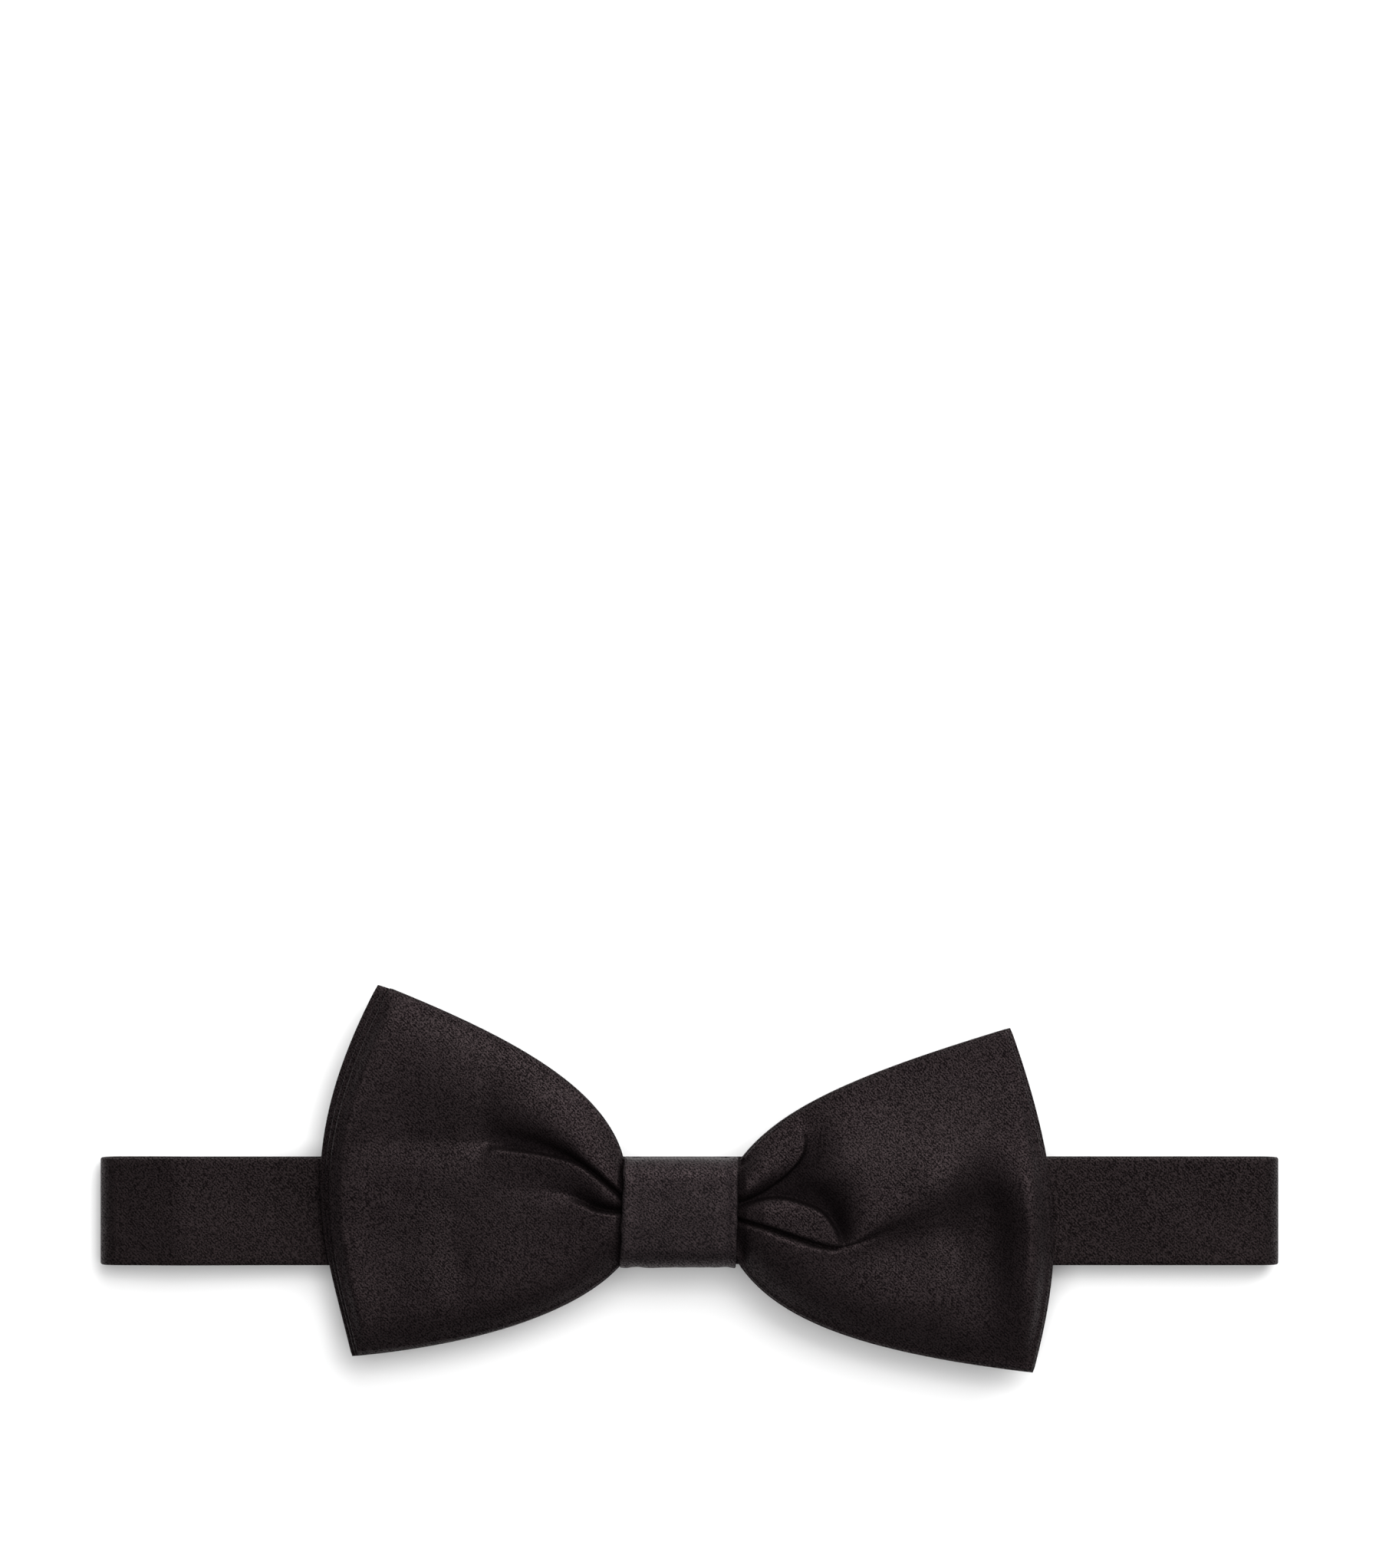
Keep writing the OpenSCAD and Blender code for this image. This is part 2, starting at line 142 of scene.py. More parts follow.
def through(rows, count):
    """A smooth curve through rows of numbers (a Catmull-Rom spline), sampled evenly."""
    rows = np.asarray(rows, float)
    ends = np.vstack([2 * rows[0] - rows[1], rows, 2 * rows[-1] - rows[-2]])
    t = np.linspace(0, len(rows) - 1, count)
    k = np.minimum(t.astype(int), len(rows) - 2)
    f = (t - k)[:, None]
    p0, p1, p2, p3 = (ends[k + i] for i in range(4))
    return 0.5 * (2 * p1 + (p2 - p0) * f + (2 * p0 - 5 * p1 + 4 * p2 - p3) * f ** 2
                  + (3 * p1 - p0 - 3 * p2 + p3) * f ** 3)


def soft_noise(x, y, size, seed):
    """Smooth random waves of about the given size, between -1 and 1."""
    rng = np.random.default_rng(seed)
    x, y = np.broadcast_arrays(x, y)
    total = np.zeros(x.shape)
    waves = 14
    for _ in range(waves):
        angle = rng.uniform(0, 2 * math.pi)
        length = size * rng.uniform(0.7, 1.6)
        phase = rng.uniform(0, 2 * math.pi)
        along = (x * math.cos(angle) + y * math.sin(angle)) / length
        total += np.sin(2 * math.pi * along + phase)
    return total / math.sqrt(waves / 2) / 2


def nearest_on(curve, x, y):
    """For each point the nearest sample of a curve: its columns, and the signed distance,
    positive on the left of the curve's direction."""
    tangent = unit(np.gradient(curve[:, :2], axis=0))
    points = np.stack([x.ravel(), y.ravel()], axis=1)
    found = np.empty(len(points), int)
    for start in range(0, len(points), 20000):
        part = points[start:start + 20000]
        d2 = ((part[:, None, :] - curve[None, :, :2]) ** 2).sum(axis=2)
        found[start:start + 20000] = d2.argmin(axis=1)
    offset = points - curve[found, :2]
    t = tangent[found]
    side = t[:, 0] * offset[:, 1] - t[:, 1] * offset[:, 0]
    distance = np.linalg.norm(offset, axis=1) * np.sign(side)
    return curve[found].reshape(x.shape + (-1,)), distance.reshape(x.shape)


# ---------------------------------------------------------------- outlines of the wings

# Corners of the rear bow, and how far the front bow's plies stay inside them at the end
LEFT_TOP, LEFT_BOTTOM = (53.4, 39.9), (57.9, -25.2)
RIGHT_TOP, RIGHT_BOTTOM = (58.1, 32.3), (62.1, -28.1)
# Handles of the edges, as shares of their own span
LEFT_HANDLES = ((0.056, 0.40), (0.59, 0.315), (0.143, 0.51), (0.50, 0.13))
RIGHT_HANDLES = ((0.142, 0.42), (0.545, 0.33), (0.131, 0.565), (0.54, 0.167))
LEFT_BELLY = (4.6, 16.1)
RIGHT_BELLY = (4.7, 10.1)
BELLY_SHARES = (0.30, 0.47)
WAIST_HALF = 8.2
BOUND_SHARE = 0.9                            # how far the thread draws the waist in
BINDING_HALF = node_box("waist_binding")[1][0]


class Wing:
    """One wing's outline: u runs from the knot to the end, v from the bottom edge to the top."""

    def __init__(self, side, step):
        left = side < 0
        self.side = side
        self.top = np.array(LEFT_TOP if left else RIGHT_TOP) - [step, step / 4]
        self.bottom = np.array(LEFT_BOTTOM if left else RIGHT_BOTTOM) + [-step / 2, step / 4]
        self.handles = LEFT_HANDLES if left else RIGHT_HANDLES
        self.belly = LEFT_BELLY if left else RIGHT_BELLY
        self.waist_top = np.array([KNOT_HALF_W - 0.2, WAIST_HALF])
        self.waist_bottom = np.array([KNOT_HALF_W - 0.2, -WAIST_HALF])

    def edge(self, a, d, start, end, t):
        span = d - a
        return bezier(a, a + span * start, d - span * end, d, t)

    def top_edge(self, u):
        return self.edge(self.waist_top, self.top, self.handles[0], self.handles[1], u)

    def bottom_edge(self, u):
        return self.edge(self.waist_bottom, self.bottom, self.handles[2], self.handles[3], u)

    def end_edge(self, v):
        tall = self.top[1] - self.bottom[1]
        return bezier(self.bottom, self.bottom + [self.belly[0], tall * BELLY_SHARES[0]],
                      self.top + [self.belly[1], -tall * BELLY_SHARES[1]], self.top, v)

    def xy(self, u, v):
        """Places on the wing; x is signed, so that it points out of the knot's own side."""
        uu, vv = u[..., None], v[..., None]
        between = mix(self.bottom_edge(u), self.top_edge(u), vv)
        across = mix(mix(self.waist_bottom, self.waist_top, vv), self.end_edge(v), uu)
        corners = mix(mix(self.waist_bottom, self.bottom, uu),
                      mix(self.waist_top, self.top, uu), vv)
        p = between + across - corners
        return p[..., 0] * self.side, p[..., 1]


# ---------------------------------------------------------------- folds of the front bow

# A fold is where it lies (1: to the left of its line, -1: to the right), what it is, and rows
# of x, y, depth, width of its soft flank and width of its lip. A pleat is deepest along its
# line; a step stays low beyond it, as where one layer of cloth lies over another.
LEFT_FOLDS = [
    # under the upper lobe: a thin line at the knot, which opens into a deep shadow
    (-1, "pleat", [
        (-9.0, 1.6, 2.4, 0.45, 0.25), (-13.4, 5.4, 2.6, 0.50, 0.25),
        (-17.3, 8.4, 3.0, 0.60, 0.25), (-20.6, 9.8, 3.9, 1.2, 0.25),
        (-25.0, 10.8, 4.4, 2.2, 0.25), (-29.6, 11.5, 4.0, 2.9, 0.3),
        (-33.0, 12.3, 2.5, 3.4, 0.8), (-36.5, 12.5, 1.0, 5.0, 2.4),
        (-44.0, 12.6, 0.8, 7.0, 3.2), (-52.0, 12.4, 0.6, 7.0, 3.4),
        (-60.0, 11.6, 0.3, 6.0, 3.6)]),
    # under the middle lobe: short, black near the knot
    (-1, "pleat", [
        (-9.0, 0.3, 2.2, 0.45, 0.3), (-12.0, 0.4, 2.8, 0.8, 0.3),
        (-15.0, 0.9, 3.6, 1.3, 0.3), (-17.6, 2.3, 2.4, 1.8, 0.5),
        (-20.5, 3.4, 1.1, 2.4, 1.2), (-25.0, 4.1, 0.4, 3.0, 2.2),
        (-31.0, 4.3, 0.0, 4.0, 3.0)]),
]
RIGHT_FOLDS = [
    # lower right side of the small upper lobe
    (-1, "pleat", [
        (9.0, 1.0, 2.4, 0.5, 0.25), (12.5, 2.5, 2.8, 0.8, 0.25), (15.2, 3.9, 3.4, 1.3, 0.25),
        (18.4, 6.2, 4.0, 2.3, 0.25), (20.8, 8.5, 3.8, 3.2, 0.3), (22.2, 10.8, 3.0, 3.6, 0.4),
        (22.7, 13.4, 2.0, 3.6, 0.7), (22.5, 16.4, 0.9, 3.6, 1.4), (22.0, 19.0, 0.0, 3.6, 2.0)]),
    # upper side and tip of the middle lobe, a short tongue
    (1, "pleat", [
        (9.0, 1.0, 2.6, 0.7, 0.25), (12.5, 2.2, 3.6, 1.2, 0.25), (15.5, 3.0, 4.6, 2.5, 0.25),
        (18.6, 2.9, 5.2, 4.2, 0.25), (22.0, 2.0, 5.4, 5.2, 0.25), (25.0, 0.6, 5.2, 4.6, 0.25),
        (27.0, -1.7, 4.6, 3.2, 0.3), (28.2, -4.0, 3.0, 2.2, 0.4), (28.8, -6.0, 0.6, 1.8, 0.5)]),
    # thin line under the tongue
    (-1, "pleat", [
        (9.0, -0.8, 2.0, 0.40, 0.25), (14.8, -2.3, 2.0, 0.45, 0.25),
        (19.8, -4.0, 2.1, 0.45, 0.25), (24.4, -5.5, 2.0, 0.55, 0.3), (28.0, -6.0, 1.5, 0.6, 0.3),
        (32.0, -4.9, 0.9, 0.7, 0.4), (36.0, -3.4, 0.4, 1.0, 0.6), (39.0, -2.5, 0.0, 1.0, 0.6)]),
    # the same line further out, where the upper layer lies over the lower one
    (-1, "step", [
        (22.0, -4.8, 0.0, 10.0, 0.3), (26.0, -5.9, 0.9, 11.0, 0.3), (30.0, -5.6, 1.7, 12.0, 0.4),
        (34.0, -4.1, 2.1, 12.0, 0.7), (38.0, -2.7, 2.1, 12.0, 1.2), (42.0, -1.8, 1.9, 11.0, 2.0),
        (46.0, -1.5, 1.4, 10.0, 3.0), (51.0, -1.6, 0.6, 10.0, 4.0), (56.0, -2.0, 0.0, 9.0, 4.0)]),
]
# Round hollows and swellings: x, y, reach in x, reach in y, tilt in degrees, height
LEFT_SWELLS = [
    (-39.4, -10.0, 2.3, 7.5, 6.0, -0.50), (-43.5, -9.0, 3.4, 9.0, 8.0, 0.18),
    (-34.6, 20.0, 2.4, 7.0, -10.0, -0.50), (-28.0, 24.0, 5.0, 6.0, 20.0, 0.2),
    (-50.0, 24.0, 6.0, 9.0, 20.0, -0.25),
]
RIGHT_SWELLS = [
    (53.8, 0.0, 4.2, 5.5, 10.0, -2.4), (55.2, -11.5, 4.0, 9.0, 4.0, -2.2),
    (46.0, 5.0, 3.8, 3.2, 30.0, 0.9), (34.0, 15.0, 10.0, 3.5, 14.0, -0.3),
    (10.9, -7.2, 0.6, 2.2, 0.0, -1.0), (10.8, 9.0, 0.7, 0.8, 0.0, -1.0),
]
# Where the end of the right wing stands up behind the hollow: distance from its end, height,
# and reach inward and outward
RIM_IN, RIM_HEIGHT = 3.0, 2.0
RIM_INNER, RIM_OUTER = 4.8, 1.9


def fold_depth(folds, x, y):
    """How far the folds push the cloth down at each point."""
    total = np.zeros_like(x)
    for soft_side, kind, rows in folds:
        near, distance = nearest_on(through(rows, 320), x, y)
        d = distance * soft_side
        away = np.abs(d)
        depth = np.maximum(near[..., 2], 0)
        soft, lip = near[..., 3], near[..., 4]
        if kind == "pleat":
            flank = np.exp(-(away / soft) ** 1.4)
        else:
            flank = (1 - 0.5 * np.exp(-away / 2.6)) * np.exp(-(away / soft) ** 2)
        start = 1.0 if kind == "pleat" else 0.5
        total += (depth * np.where(d > 0, flank, start * np.exp(-(away / lip) ** 1.5))) ** 2
    return np.sqrt(total)


def swelling(swells, x, y):
    total = np.zeros_like(x)
    for cx, cy, rx, ry, tilt, height in swells:
        c, s = math.cos(math.radians(tilt)), math.sin(math.radians(tilt))
        dx, dy = x - cx, y - cy
        a, b = (dx * c + dy * s) / rx, (-dx * s + dy * c) / ry
        total += height * np.exp(-(a * a + b * b) / 2)
    return total


# Heights of the cloth, from the table up
PLY_T = 0.5
BACKING_T = 0.45
SEAM_GAP = 0.04
FRONT_WAIST_Z, FRONT_END_Z = REAR_WAIST_Z + 0.6, REAR_WAIST_Z - 0.3
REAR_SEAM_WAIST_Z, REAR_SEAM_END_Z = REAR_Z + 1.4, REAR_Z + 1.0


def front_seam(u):
    """Height at which the face and the backing of the front bow meet along their edges."""
    return mix(FRONT_WAIST_Z, FRONT_END_Z, smooth(u, 0, 0.9))


def rear_seam(u):
    return mix(REAR_SEAM_WAIST_Z, REAR_SEAM_END_Z, smooth(u))


def settle(height, floor, softness):
    """Cloth pushed down comes to rest softly on what lies under it."""
    return floor + np.logaddexp((height - floor) / softness, 0) * softness


# How high the cloth rises between its edges, at shares of the way from the knot to the end
RISE_AT = [0, 0.06, 0.16, 0.30, 0.50, 0.75, 1.0]
LEFT_RISE = [2.1, 3.1, 3.7, 3.6, 3.1, 2.6, 2.0]
RIGHT_RISE = [2.1, 3.7, 4.9, 5.2, 4.9, 3.9, 2.4]
# How it rises across: a power of 2 is a round bulge, and 9 is flat with rolled edges
POWER_AT = [0, 0.15, 0.35, 1.0]
LEFT_POWER = [2.6, 3.2, 5.0, 9.0]
RIGHT_LOWER_POWER = [2.4, 2.6, 3.5, 6.0]
RIGHT_UPPER_AT, RIGHT_UPPER_POWER = [0, 0.3, 1.0], [2.4, 1.8, 2.4]


def left_lobes(u, across, y):
    """Rise and crown of the left wing, which is pressed flat, a little lower along its middle."""
    crown = 1 - np.abs(across) ** np.interp(u, POWER_AT, LEFT_POWER)
    valley = 1 + 0.6 * (across ** 2 - 0.4) * smooth(u, 0.1, 0.5)
    # near the upper part of its end the face stands off the plies behind it
    off = (0.45 + 1.2 * np.exp(-((y - 14) / 9) ** 2)) * smooth(u, 0.90, 1.0)
    return np.interp(u, RISE_AT, LEFT_RISE) * crown * end_roll(u) * valley + off, crown


def right_lobes(u, across, y, wing):
    """Rise and crown of the right wing: fuller, and its upper half slopes to its edge."""
    power = np.where(across > 0, np.interp(u, RIGHT_UPPER_AT, RIGHT_UPPER_POWER),
                     np.interp(u, POWER_AT, RIGHT_LOWER_POWER))
    crown = 1 - np.abs(across) ** power
    from_end = (1 - u) * (wing.top[0] + wing.bottom[0]) / 2
    width = np.where(from_end > RIM_IN, RIM_INNER, RIM_OUTER)
    rim = RIM_HEIGHT * np.exp(-((from_end - RIM_IN) / width) ** 2)
    rim *= smooth(-y, -16, 2) * smooth(y, -29, -14)
    return np.interp(u, RISE_AT, RIGHT_RISE) * crown * end_roll(u) + rim, crown


def end_roll(u):
    """Share of its height that the cloth keeps towards its end, where it rolls down."""
    return 1 - 0.75 * smooth(u, 0.965, 1.0) ** 2


def front_face_z(wing, u, v, x, y):
    """Height of the top of the front bow."""
    left = wing.side < 0
    across = 2 * v - 1
    lobes, crown = left_lobes(u, across, y) if left else right_lobes(u, across, y, wing)
    lobes += swelling(LEFT_SWELLS if left else RIGHT_SWELLS, x, y) * smooth(1 - u, 0, 0.06)
    lobes += 0.06 * soft_noise(x, y, 11.0, 5 if left else 6) * crown
    lobes += 0.02 * soft_noise(x, y, 3.2, 7 if left else 8) * crown
    down = fold_depth(LEFT_FOLDS if left else RIGHT_FOLDS, x, y)
    height = settle(lobes - down, 0.45, 0.3)
    return front_seam(u) + SEAM_GAP + PLY_T + np.minimum(height, lobes + 0.5) * np.clip(
        crown * 30, 0, 1)


def front_backing_z(wing, u, v, x, y):
    """Height of the top of the front bow's backing, nearly flat."""
    stand_off = 0.0
    if wing.side < 0:
        stand_off = (0.1 + 0.45 * np.exp(-((y - 13) / 9) ** 2)) * smooth(u, 0.92, 1.0)
    return front_seam(u) - 0.06 * soft_noise(x, y, 14.0, 12) ** 2 + stand_off


def rear_face_z(wing, u, v, x, y):
    """Height of the top of the rear bow, full at the waist and nearly flat beyond it."""
    waist_rise = REAR_WAIST_Z - REAR_SEAM_WAIST_Z - SEAM_GAP - PLY_T
    rise = mix(waist_rise, 0.5, smooth(u, 0, 0.3)) * (1 - np.abs(2 * v - 1) ** 6)
    noise = 0.04 * soft_noise(x, y, 12.0, 11)
    rolled = 1 - 0.8 * smooth(u, 0.97, 1.0)
    return rear_seam(u) + SEAM_GAP + PLY_T + (rise + noise) * rolled


# Shallow pleats in the back of the rear bow; the sheet is the same behind both wings
REAR_PLEATS = [
    (1, "pleat", [
        (9.0, 3.2, 0.9, 0.9, 0.7), (18.0, 6.0, 1.0, 1.4, 0.8), (28.0, 9.5, 0.7, 2.2, 1.2),
        (42.0, 13.5, 0.0, 3.0, 2.0)]),
    (-1, "pleat", [
        (9.0, -2.6, 0.9, 0.9, 0.7), (19.0, -5.4, 1.0, 1.4, 0.8), (31.0, -8.5, 0.6, 2.4, 1.2),
        (44.0, -11.5, 0.0, 3.0, 2.0)]),
]


def rear_backing_z(wing, u, v, x, y):
    """Height of the back of the rear bow: it bulges between its pleats."""
    bulge = 0.5 * (1 - np.abs(2 * v - 1) ** 4) * (1 - smooth(u, 0.75, 1.0))
    pleats = np.minimum(fold_depth(REAR_PLEATS, np.abs(x), y), 0.8)
    return rear_seam(u) - BACKING_T - np.maximum(bulge - 0.75 * pleats, 0)


# ---------------------------------------------------------------- mesh building

def new_object(name, points, faces, smooth_shading=True):
    mesh = bpy.data.meshes.new(name)
    mesh.from_pydata([tuple(p) for p in points], [], faces)
    mesh.validate()
    mesh.update()
    if smooth_shading:
        mesh.shade_smooth()
    piece = bpy.data.objects.new(name, mesh)
    bpy.context.scene.collection.objects.link(piece)
    return piece


def closed_sheet(name, top, bottom, rim):
    """A closed sheet from grids of its top and bottom (rows, columns, 3). Its rim is a ring of
    points between the two, pushed outward by rim to round the edge."""
    rows, cols = top.shape[:2]
    border = ([(i, 0) for i in range(rows)] + [(rows - 1, j) for j in range(1, cols)]
              + [(i, cols - 1) for i in range(rows - 2, -1, -1)]
              + [(0, j) for j in range(cols - 2, 0, -1)])
    ring_index = np.array(border)
    upper = top[ring_index[:, 0], ring_index[:, 1]]
    lower = bottom[ring_index[:, 0], ring_index[:, 1]]
    middle = (upper + lower) / 2
    along = np.roll(middle, -1, axis=0) - np.roll(middle, 1, axis=0)
    outward = np.stack([along[:, 1], -along[:, 0], np.zeros(len(along))], axis=1)
    outward /= np.linalg.norm(outward, axis=1)[:, None] + 1e-9
    area = np.sum(middle[:, 0] * np.roll(middle[:, 1], -1)
                  - np.roll(middle[:, 0], -1) * middle[:, 1])
    if area < 0:
        outward = -outward
    shares = [(0.85, 0.55), (0.5, 0.95), (0.15, 0.55)]
    rings = [mix(lower, upper, level) + outward * rim * push for level, push in shares]
    points = np.vstack([top.reshape(-1, 3), bottom.reshape(-1, 3)] + rings)
    base = rows * cols

    def at(i, j):
        return i * cols + j

    faces = []
    for i in range(rows - 1):
        for j in range(cols - 1):
            a, b, c, d = at(i, j), at(i + 1, j), at(i + 1, j + 1), at(i, j + 1)
            faces.append((a, b, c, d))
            faces.append((base + a, base + d, base + c, base + b))
    count = len(border)
    loops = [[at(i, j) for i, j in border]]
    loops += [[2 * base + k * count + n for n in range(count)] for k in range(len(rings))]
    loops.append([base + at(i, j) for i, j in border])
    for high, low in zip(loops, loops[1:]):
        for n in range(count):
            m = (n + 1) % count
            faces.append((high[n], low[n], low[m], high[m]))
    if area < 0:
        faces = [f[::-1] for f in faces]
    return new_object(name, place(points), faces)


WAIST_CELLS = 8


def bow_ply(name, cells, rows, steps, top_z, thickness, rim, inset):
    """One ply across both wings and the waist."""
    # rows close up towards the edges, where the cloth rolls over
    v = 0.5 - 0.5 * np.cos(np.pi * np.linspace(0, 1, rows))
    v = mix(v, np.linspace(0, 1, rows), 0.6)
    v = inset + v * (1 - 2 * inset)
    # columns close up towards the knot
    outward = np.linspace(0, 1, cells + 1) ** 1.15 * (1 - inset)
    wings = []
    for side, step, u in ((-1, steps[0], outward[::-1]), (1, steps[1], outward)):
        wing = Wing(side, step)
        uu, vv = np.meshgrid(u, v, indexing="ij")
        x, y = wing.xy(uu, vv)
        wings.append(np.stack([x, y, top_z(wing, uu, vv, x, y)], axis=2))
    left, right = wings
    waist = np.array([mix(left[-1], right[0], t)
                      for t in np.linspace(0, 1, WAIST_CELLS + 1)[1:-1]])
    waist[..., 1] *= mix(BOUND_SHARE, 1, smooth(np.abs(waist[..., 0]), BINDING_HALF, 9))
    top = np.concatenate([left, waist, right])
    sheet = closed_sheet(name, top, top - [0, 0, thickness], rim)
    # the front face carries painted shade in its pleats and hollows
    if top_z is front_face_z:
        paint_fold_shade(sheet)
    return sheet


# Depth in a pleat at which its shade begins and is full, and the same in a hollow, whose shade
# is never full; how far a pleat's shade covers its lip, and where the knot's own shade takes over
PLEAT_SHADE = (0.7, 3.8)
HOLLOW_SHADE = (0.3, 2.4)
HOLLOW_SHARE = 0.6
SHADED_LIP = 0.4
SHADE_FROM_X = 8


def paint_fold_shade(sheet):
    """Paint shade by how deep each point lies in a pleat or a hollow, where the satin gets less
    light.
    """
    places = np.zeros(len(sheet.data.vertices) * 3)
    sheet.data.vertices.foreach_get("co", places)
    x, y = ((places.reshape(-1, 3) - np.array(place(np.zeros((1, 3))))) / MM)[:, :2].T
    painted_shade = np.zeros_like(x)
    for side, folds, swells in ((-1, LEFT_FOLDS, LEFT_SWELLS), (1, RIGHT_FOLDS, RIGHT_SWELLS)):
        pleats = [(soft_side, kind, [(*row[:4], row[4] + SHADED_LIP) for row in rows])
                  for soft_side, kind, rows in folds if kind == "pleat"]
        fold_shade = smooth(fold_depth(pleats, x, y), *PLEAT_SHADE)
        fold_shade += HOLLOW_SHARE * smooth(-swelling(swells, x, y), *HOLLOW_SHADE)
        painted_shade = np.where(x * side > SHADE_FROM_X, np.minimum(fold_shade, 1), painted_shade)
    shade_layer = sheet.data.attributes.new("fold", "FLOAT", "POINT")
    shade_layer.data.foreach_set("value", painted_shade)


def lift(level, amount):
    """A height function raised by an amount."""
    return lambda wing, u, v, x, y: level(wing, u, v, x, y) + amount


# ---------------------------------------------------------------- ribbons, rods and plates

def strip_section(thickness, columns):
    """The outline of a flat tube: share of the width, distance beyond it, and height."""
    h = thickness / 2
    flat = np.linspace(-1, 1, columns)
    flat = np.unique(np.concatenate([flat, [-0.045, -0.02, 0.02, 0.045]]))
    arc = np.radians(np.linspace(67.5, -67.5, 7))
    rows = [(s, 0, h) for s in flat]
    rows += [(1, h * math.cos(a), h * math.sin(a)) for a in arc]
    rows += [(s, 0, -h) for s in flat[::-1]]
    rows += [(-1, -h * math.cos(a), h * math.sin(a)) for a in arc[::-1]]
    return np.array(rows)


def strip(line, normals, across, low, high, thickness, closed=False, wave=None, columns=27):
    """Points and faces of a flat tube that follows a line. across is the direction of its
    width, from low to high at each point of the line, and wave lifts it along its normal."""
    section = strip_section(thickness, columns)
    low, high = np.broadcast_to(low, len(line)), np.broadcast_to(high, len(line))
    middle, half = (low + high) / 2, (high - low) / 2 - thickness / 2
    side = middle[:, None] + section[None, :, 0] * half[:, None] + section[None, :, 1]
    off = np.broadcast_to(section[None, :, 2], side.shape).copy()
    if wave is not None:
        off += wave(line, side, np.sign(off))
    points = line[:, None] + side[..., None] * across + off[..., None] * normals[:, None]
    return outside_out(points.reshape(-1, 3), tube_faces(*side.shape, closed))


def tube_faces(rings, sides, closed=False):
    """Faces between rings of points, with a cap at each end unless the tube is closed."""
    faces = []
    for i in range(rings if closed else rings - 1):
        j = (i + 1) % rings
        for k in range(sides):
            following = (k + 1) % sides
            faces.append((i * sides + k, i * sides + following, j * sides + following,
                          j * sides + k))
    if not closed:
        faces.append(tuple(range(sides))[::-1])
        faces.append(tuple(range((rings - 1) * sides, rings * sides)))
    return faces


def outside_out(points, faces):
    """The same mesh with its faces turned outward."""
    volume = 0.0
    for f in faces:
        for i in range(1, len(f) - 1):
            volume += np.dot(points[f[0]], np.cross(points[f[i]], points[f[i + 1]]))
    return points, faces if volume > 0 else [f[::-1] for f in faces]


def xz_line(points):
    """A line in the plane y = 0 and its normals, which point to the left of its direction."""
    points = np.asarray(points, float)
    along = unit(np.gradient(points, axis=0))
    zero = np.zeros(len(points))
    line = np.stack([points[:, 0], zero, points[:, 1]], axis=1)
    normals = np.stack([-along[:, 1], zero, along[:, 0]], axis=1)
    return line, normals


def straight(a, b, spacing):
    count = max(2, int(math.hypot(b[0] - a[0], b[1] - a[1]) / spacing) + 1)
    return [(mix(a[0], b[0], t), mix(a[1], b[1], t)) for t in np.linspace(0, 1, count)]


def arc(centre, radius, start, end, count=17):
    """Points on an arc, angles in degrees from +X towards +Z."""
    angles = np.radians(np.linspace(start, end, count))
    return [(centre[0] + radius * math.cos(a), centre[1] + radius * math.sin(a))
            for a in angles]


def joined(*runs):
    """Runs of points one after another, without doubled points where they meet."""
    points = []
    for run in runs:
        for p in run:
            if not points or math.hypot(p[0] - points[-1][0], p[1] - points[-1][1]) > 1e-4:
                points.append(p)
    return points


def rod(path, radius, sides=16):
    """A round rod along a path of points, with domed ends."""
    path = np.asarray(path, float)
    along = unit(np.gradient(path, axis=0))
    dome = np.radians([90, 60, 30])
    first = [path[0] - along[0] * radius * math.sin(a) for a in dome]
    last = [path[-1] + along[-1] * radius * math.sin(a) for a in dome[::-1]]
    line = np.vstack([first, path, last])
    radii = np.concatenate([radius * np.cos(dome) + 1e-4, np.full(len(path), radius),
                            radius * np.cos(dome[::-1]) + 1e-4])
    along = np.vstack([[along[0]] * 3, along, [along[-1]] * 3])
    up = np.eye(3)[np.abs(along).max(axis=0).argmin()]
    a_dir = unit(np.cross(along, up))
    b_dir = np.cross(along, a_dir)
    turn = np.linspace(0, 2 * math.pi, sides, endpoint=False)
    ring = (np.cos(turn)[None, :, None] * a_dir[:, None] + np.sin(turn)[None, :, None]
            * b_dir[:, None])
    points = (line[:, None] + ring * radii[:, None, None]).reshape(-1, 3)
    return outside_out(points, tube_faces(len(line), sides))


def rounded(corners, radius, steps=5):
    """A closed outline with its corners rounded."""
    corners = [np.array(c, float) for c in corners]
    out = []
    for i, c in enumerate(corners):
        before, after = corners[i - 1] - c, corners[(i + 1) % len(corners)] - c
        r = min(radius, np.linalg.norm(before) / 2.01, np.linalg.norm(after) / 2.01)
        a = c + before / np.linalg.norm(before) * r
        b = c + after / np.linalg.norm(after) * r
        for t in np.linspace(0, 1, steps):
            out.append((1 - t) ** 2 * a + 2 * t * (1 - t) * c + t * t * b)
    return out


def mirrored(lower_half):
    """A closed outline from its lower half, mirrored in y."""
    return lower_half + [(x, -y) for x, y in lower_half[::-1]]


def rectangle(x0, x1, half):
    return mirrored([(x0, -half), (x1, -half)])


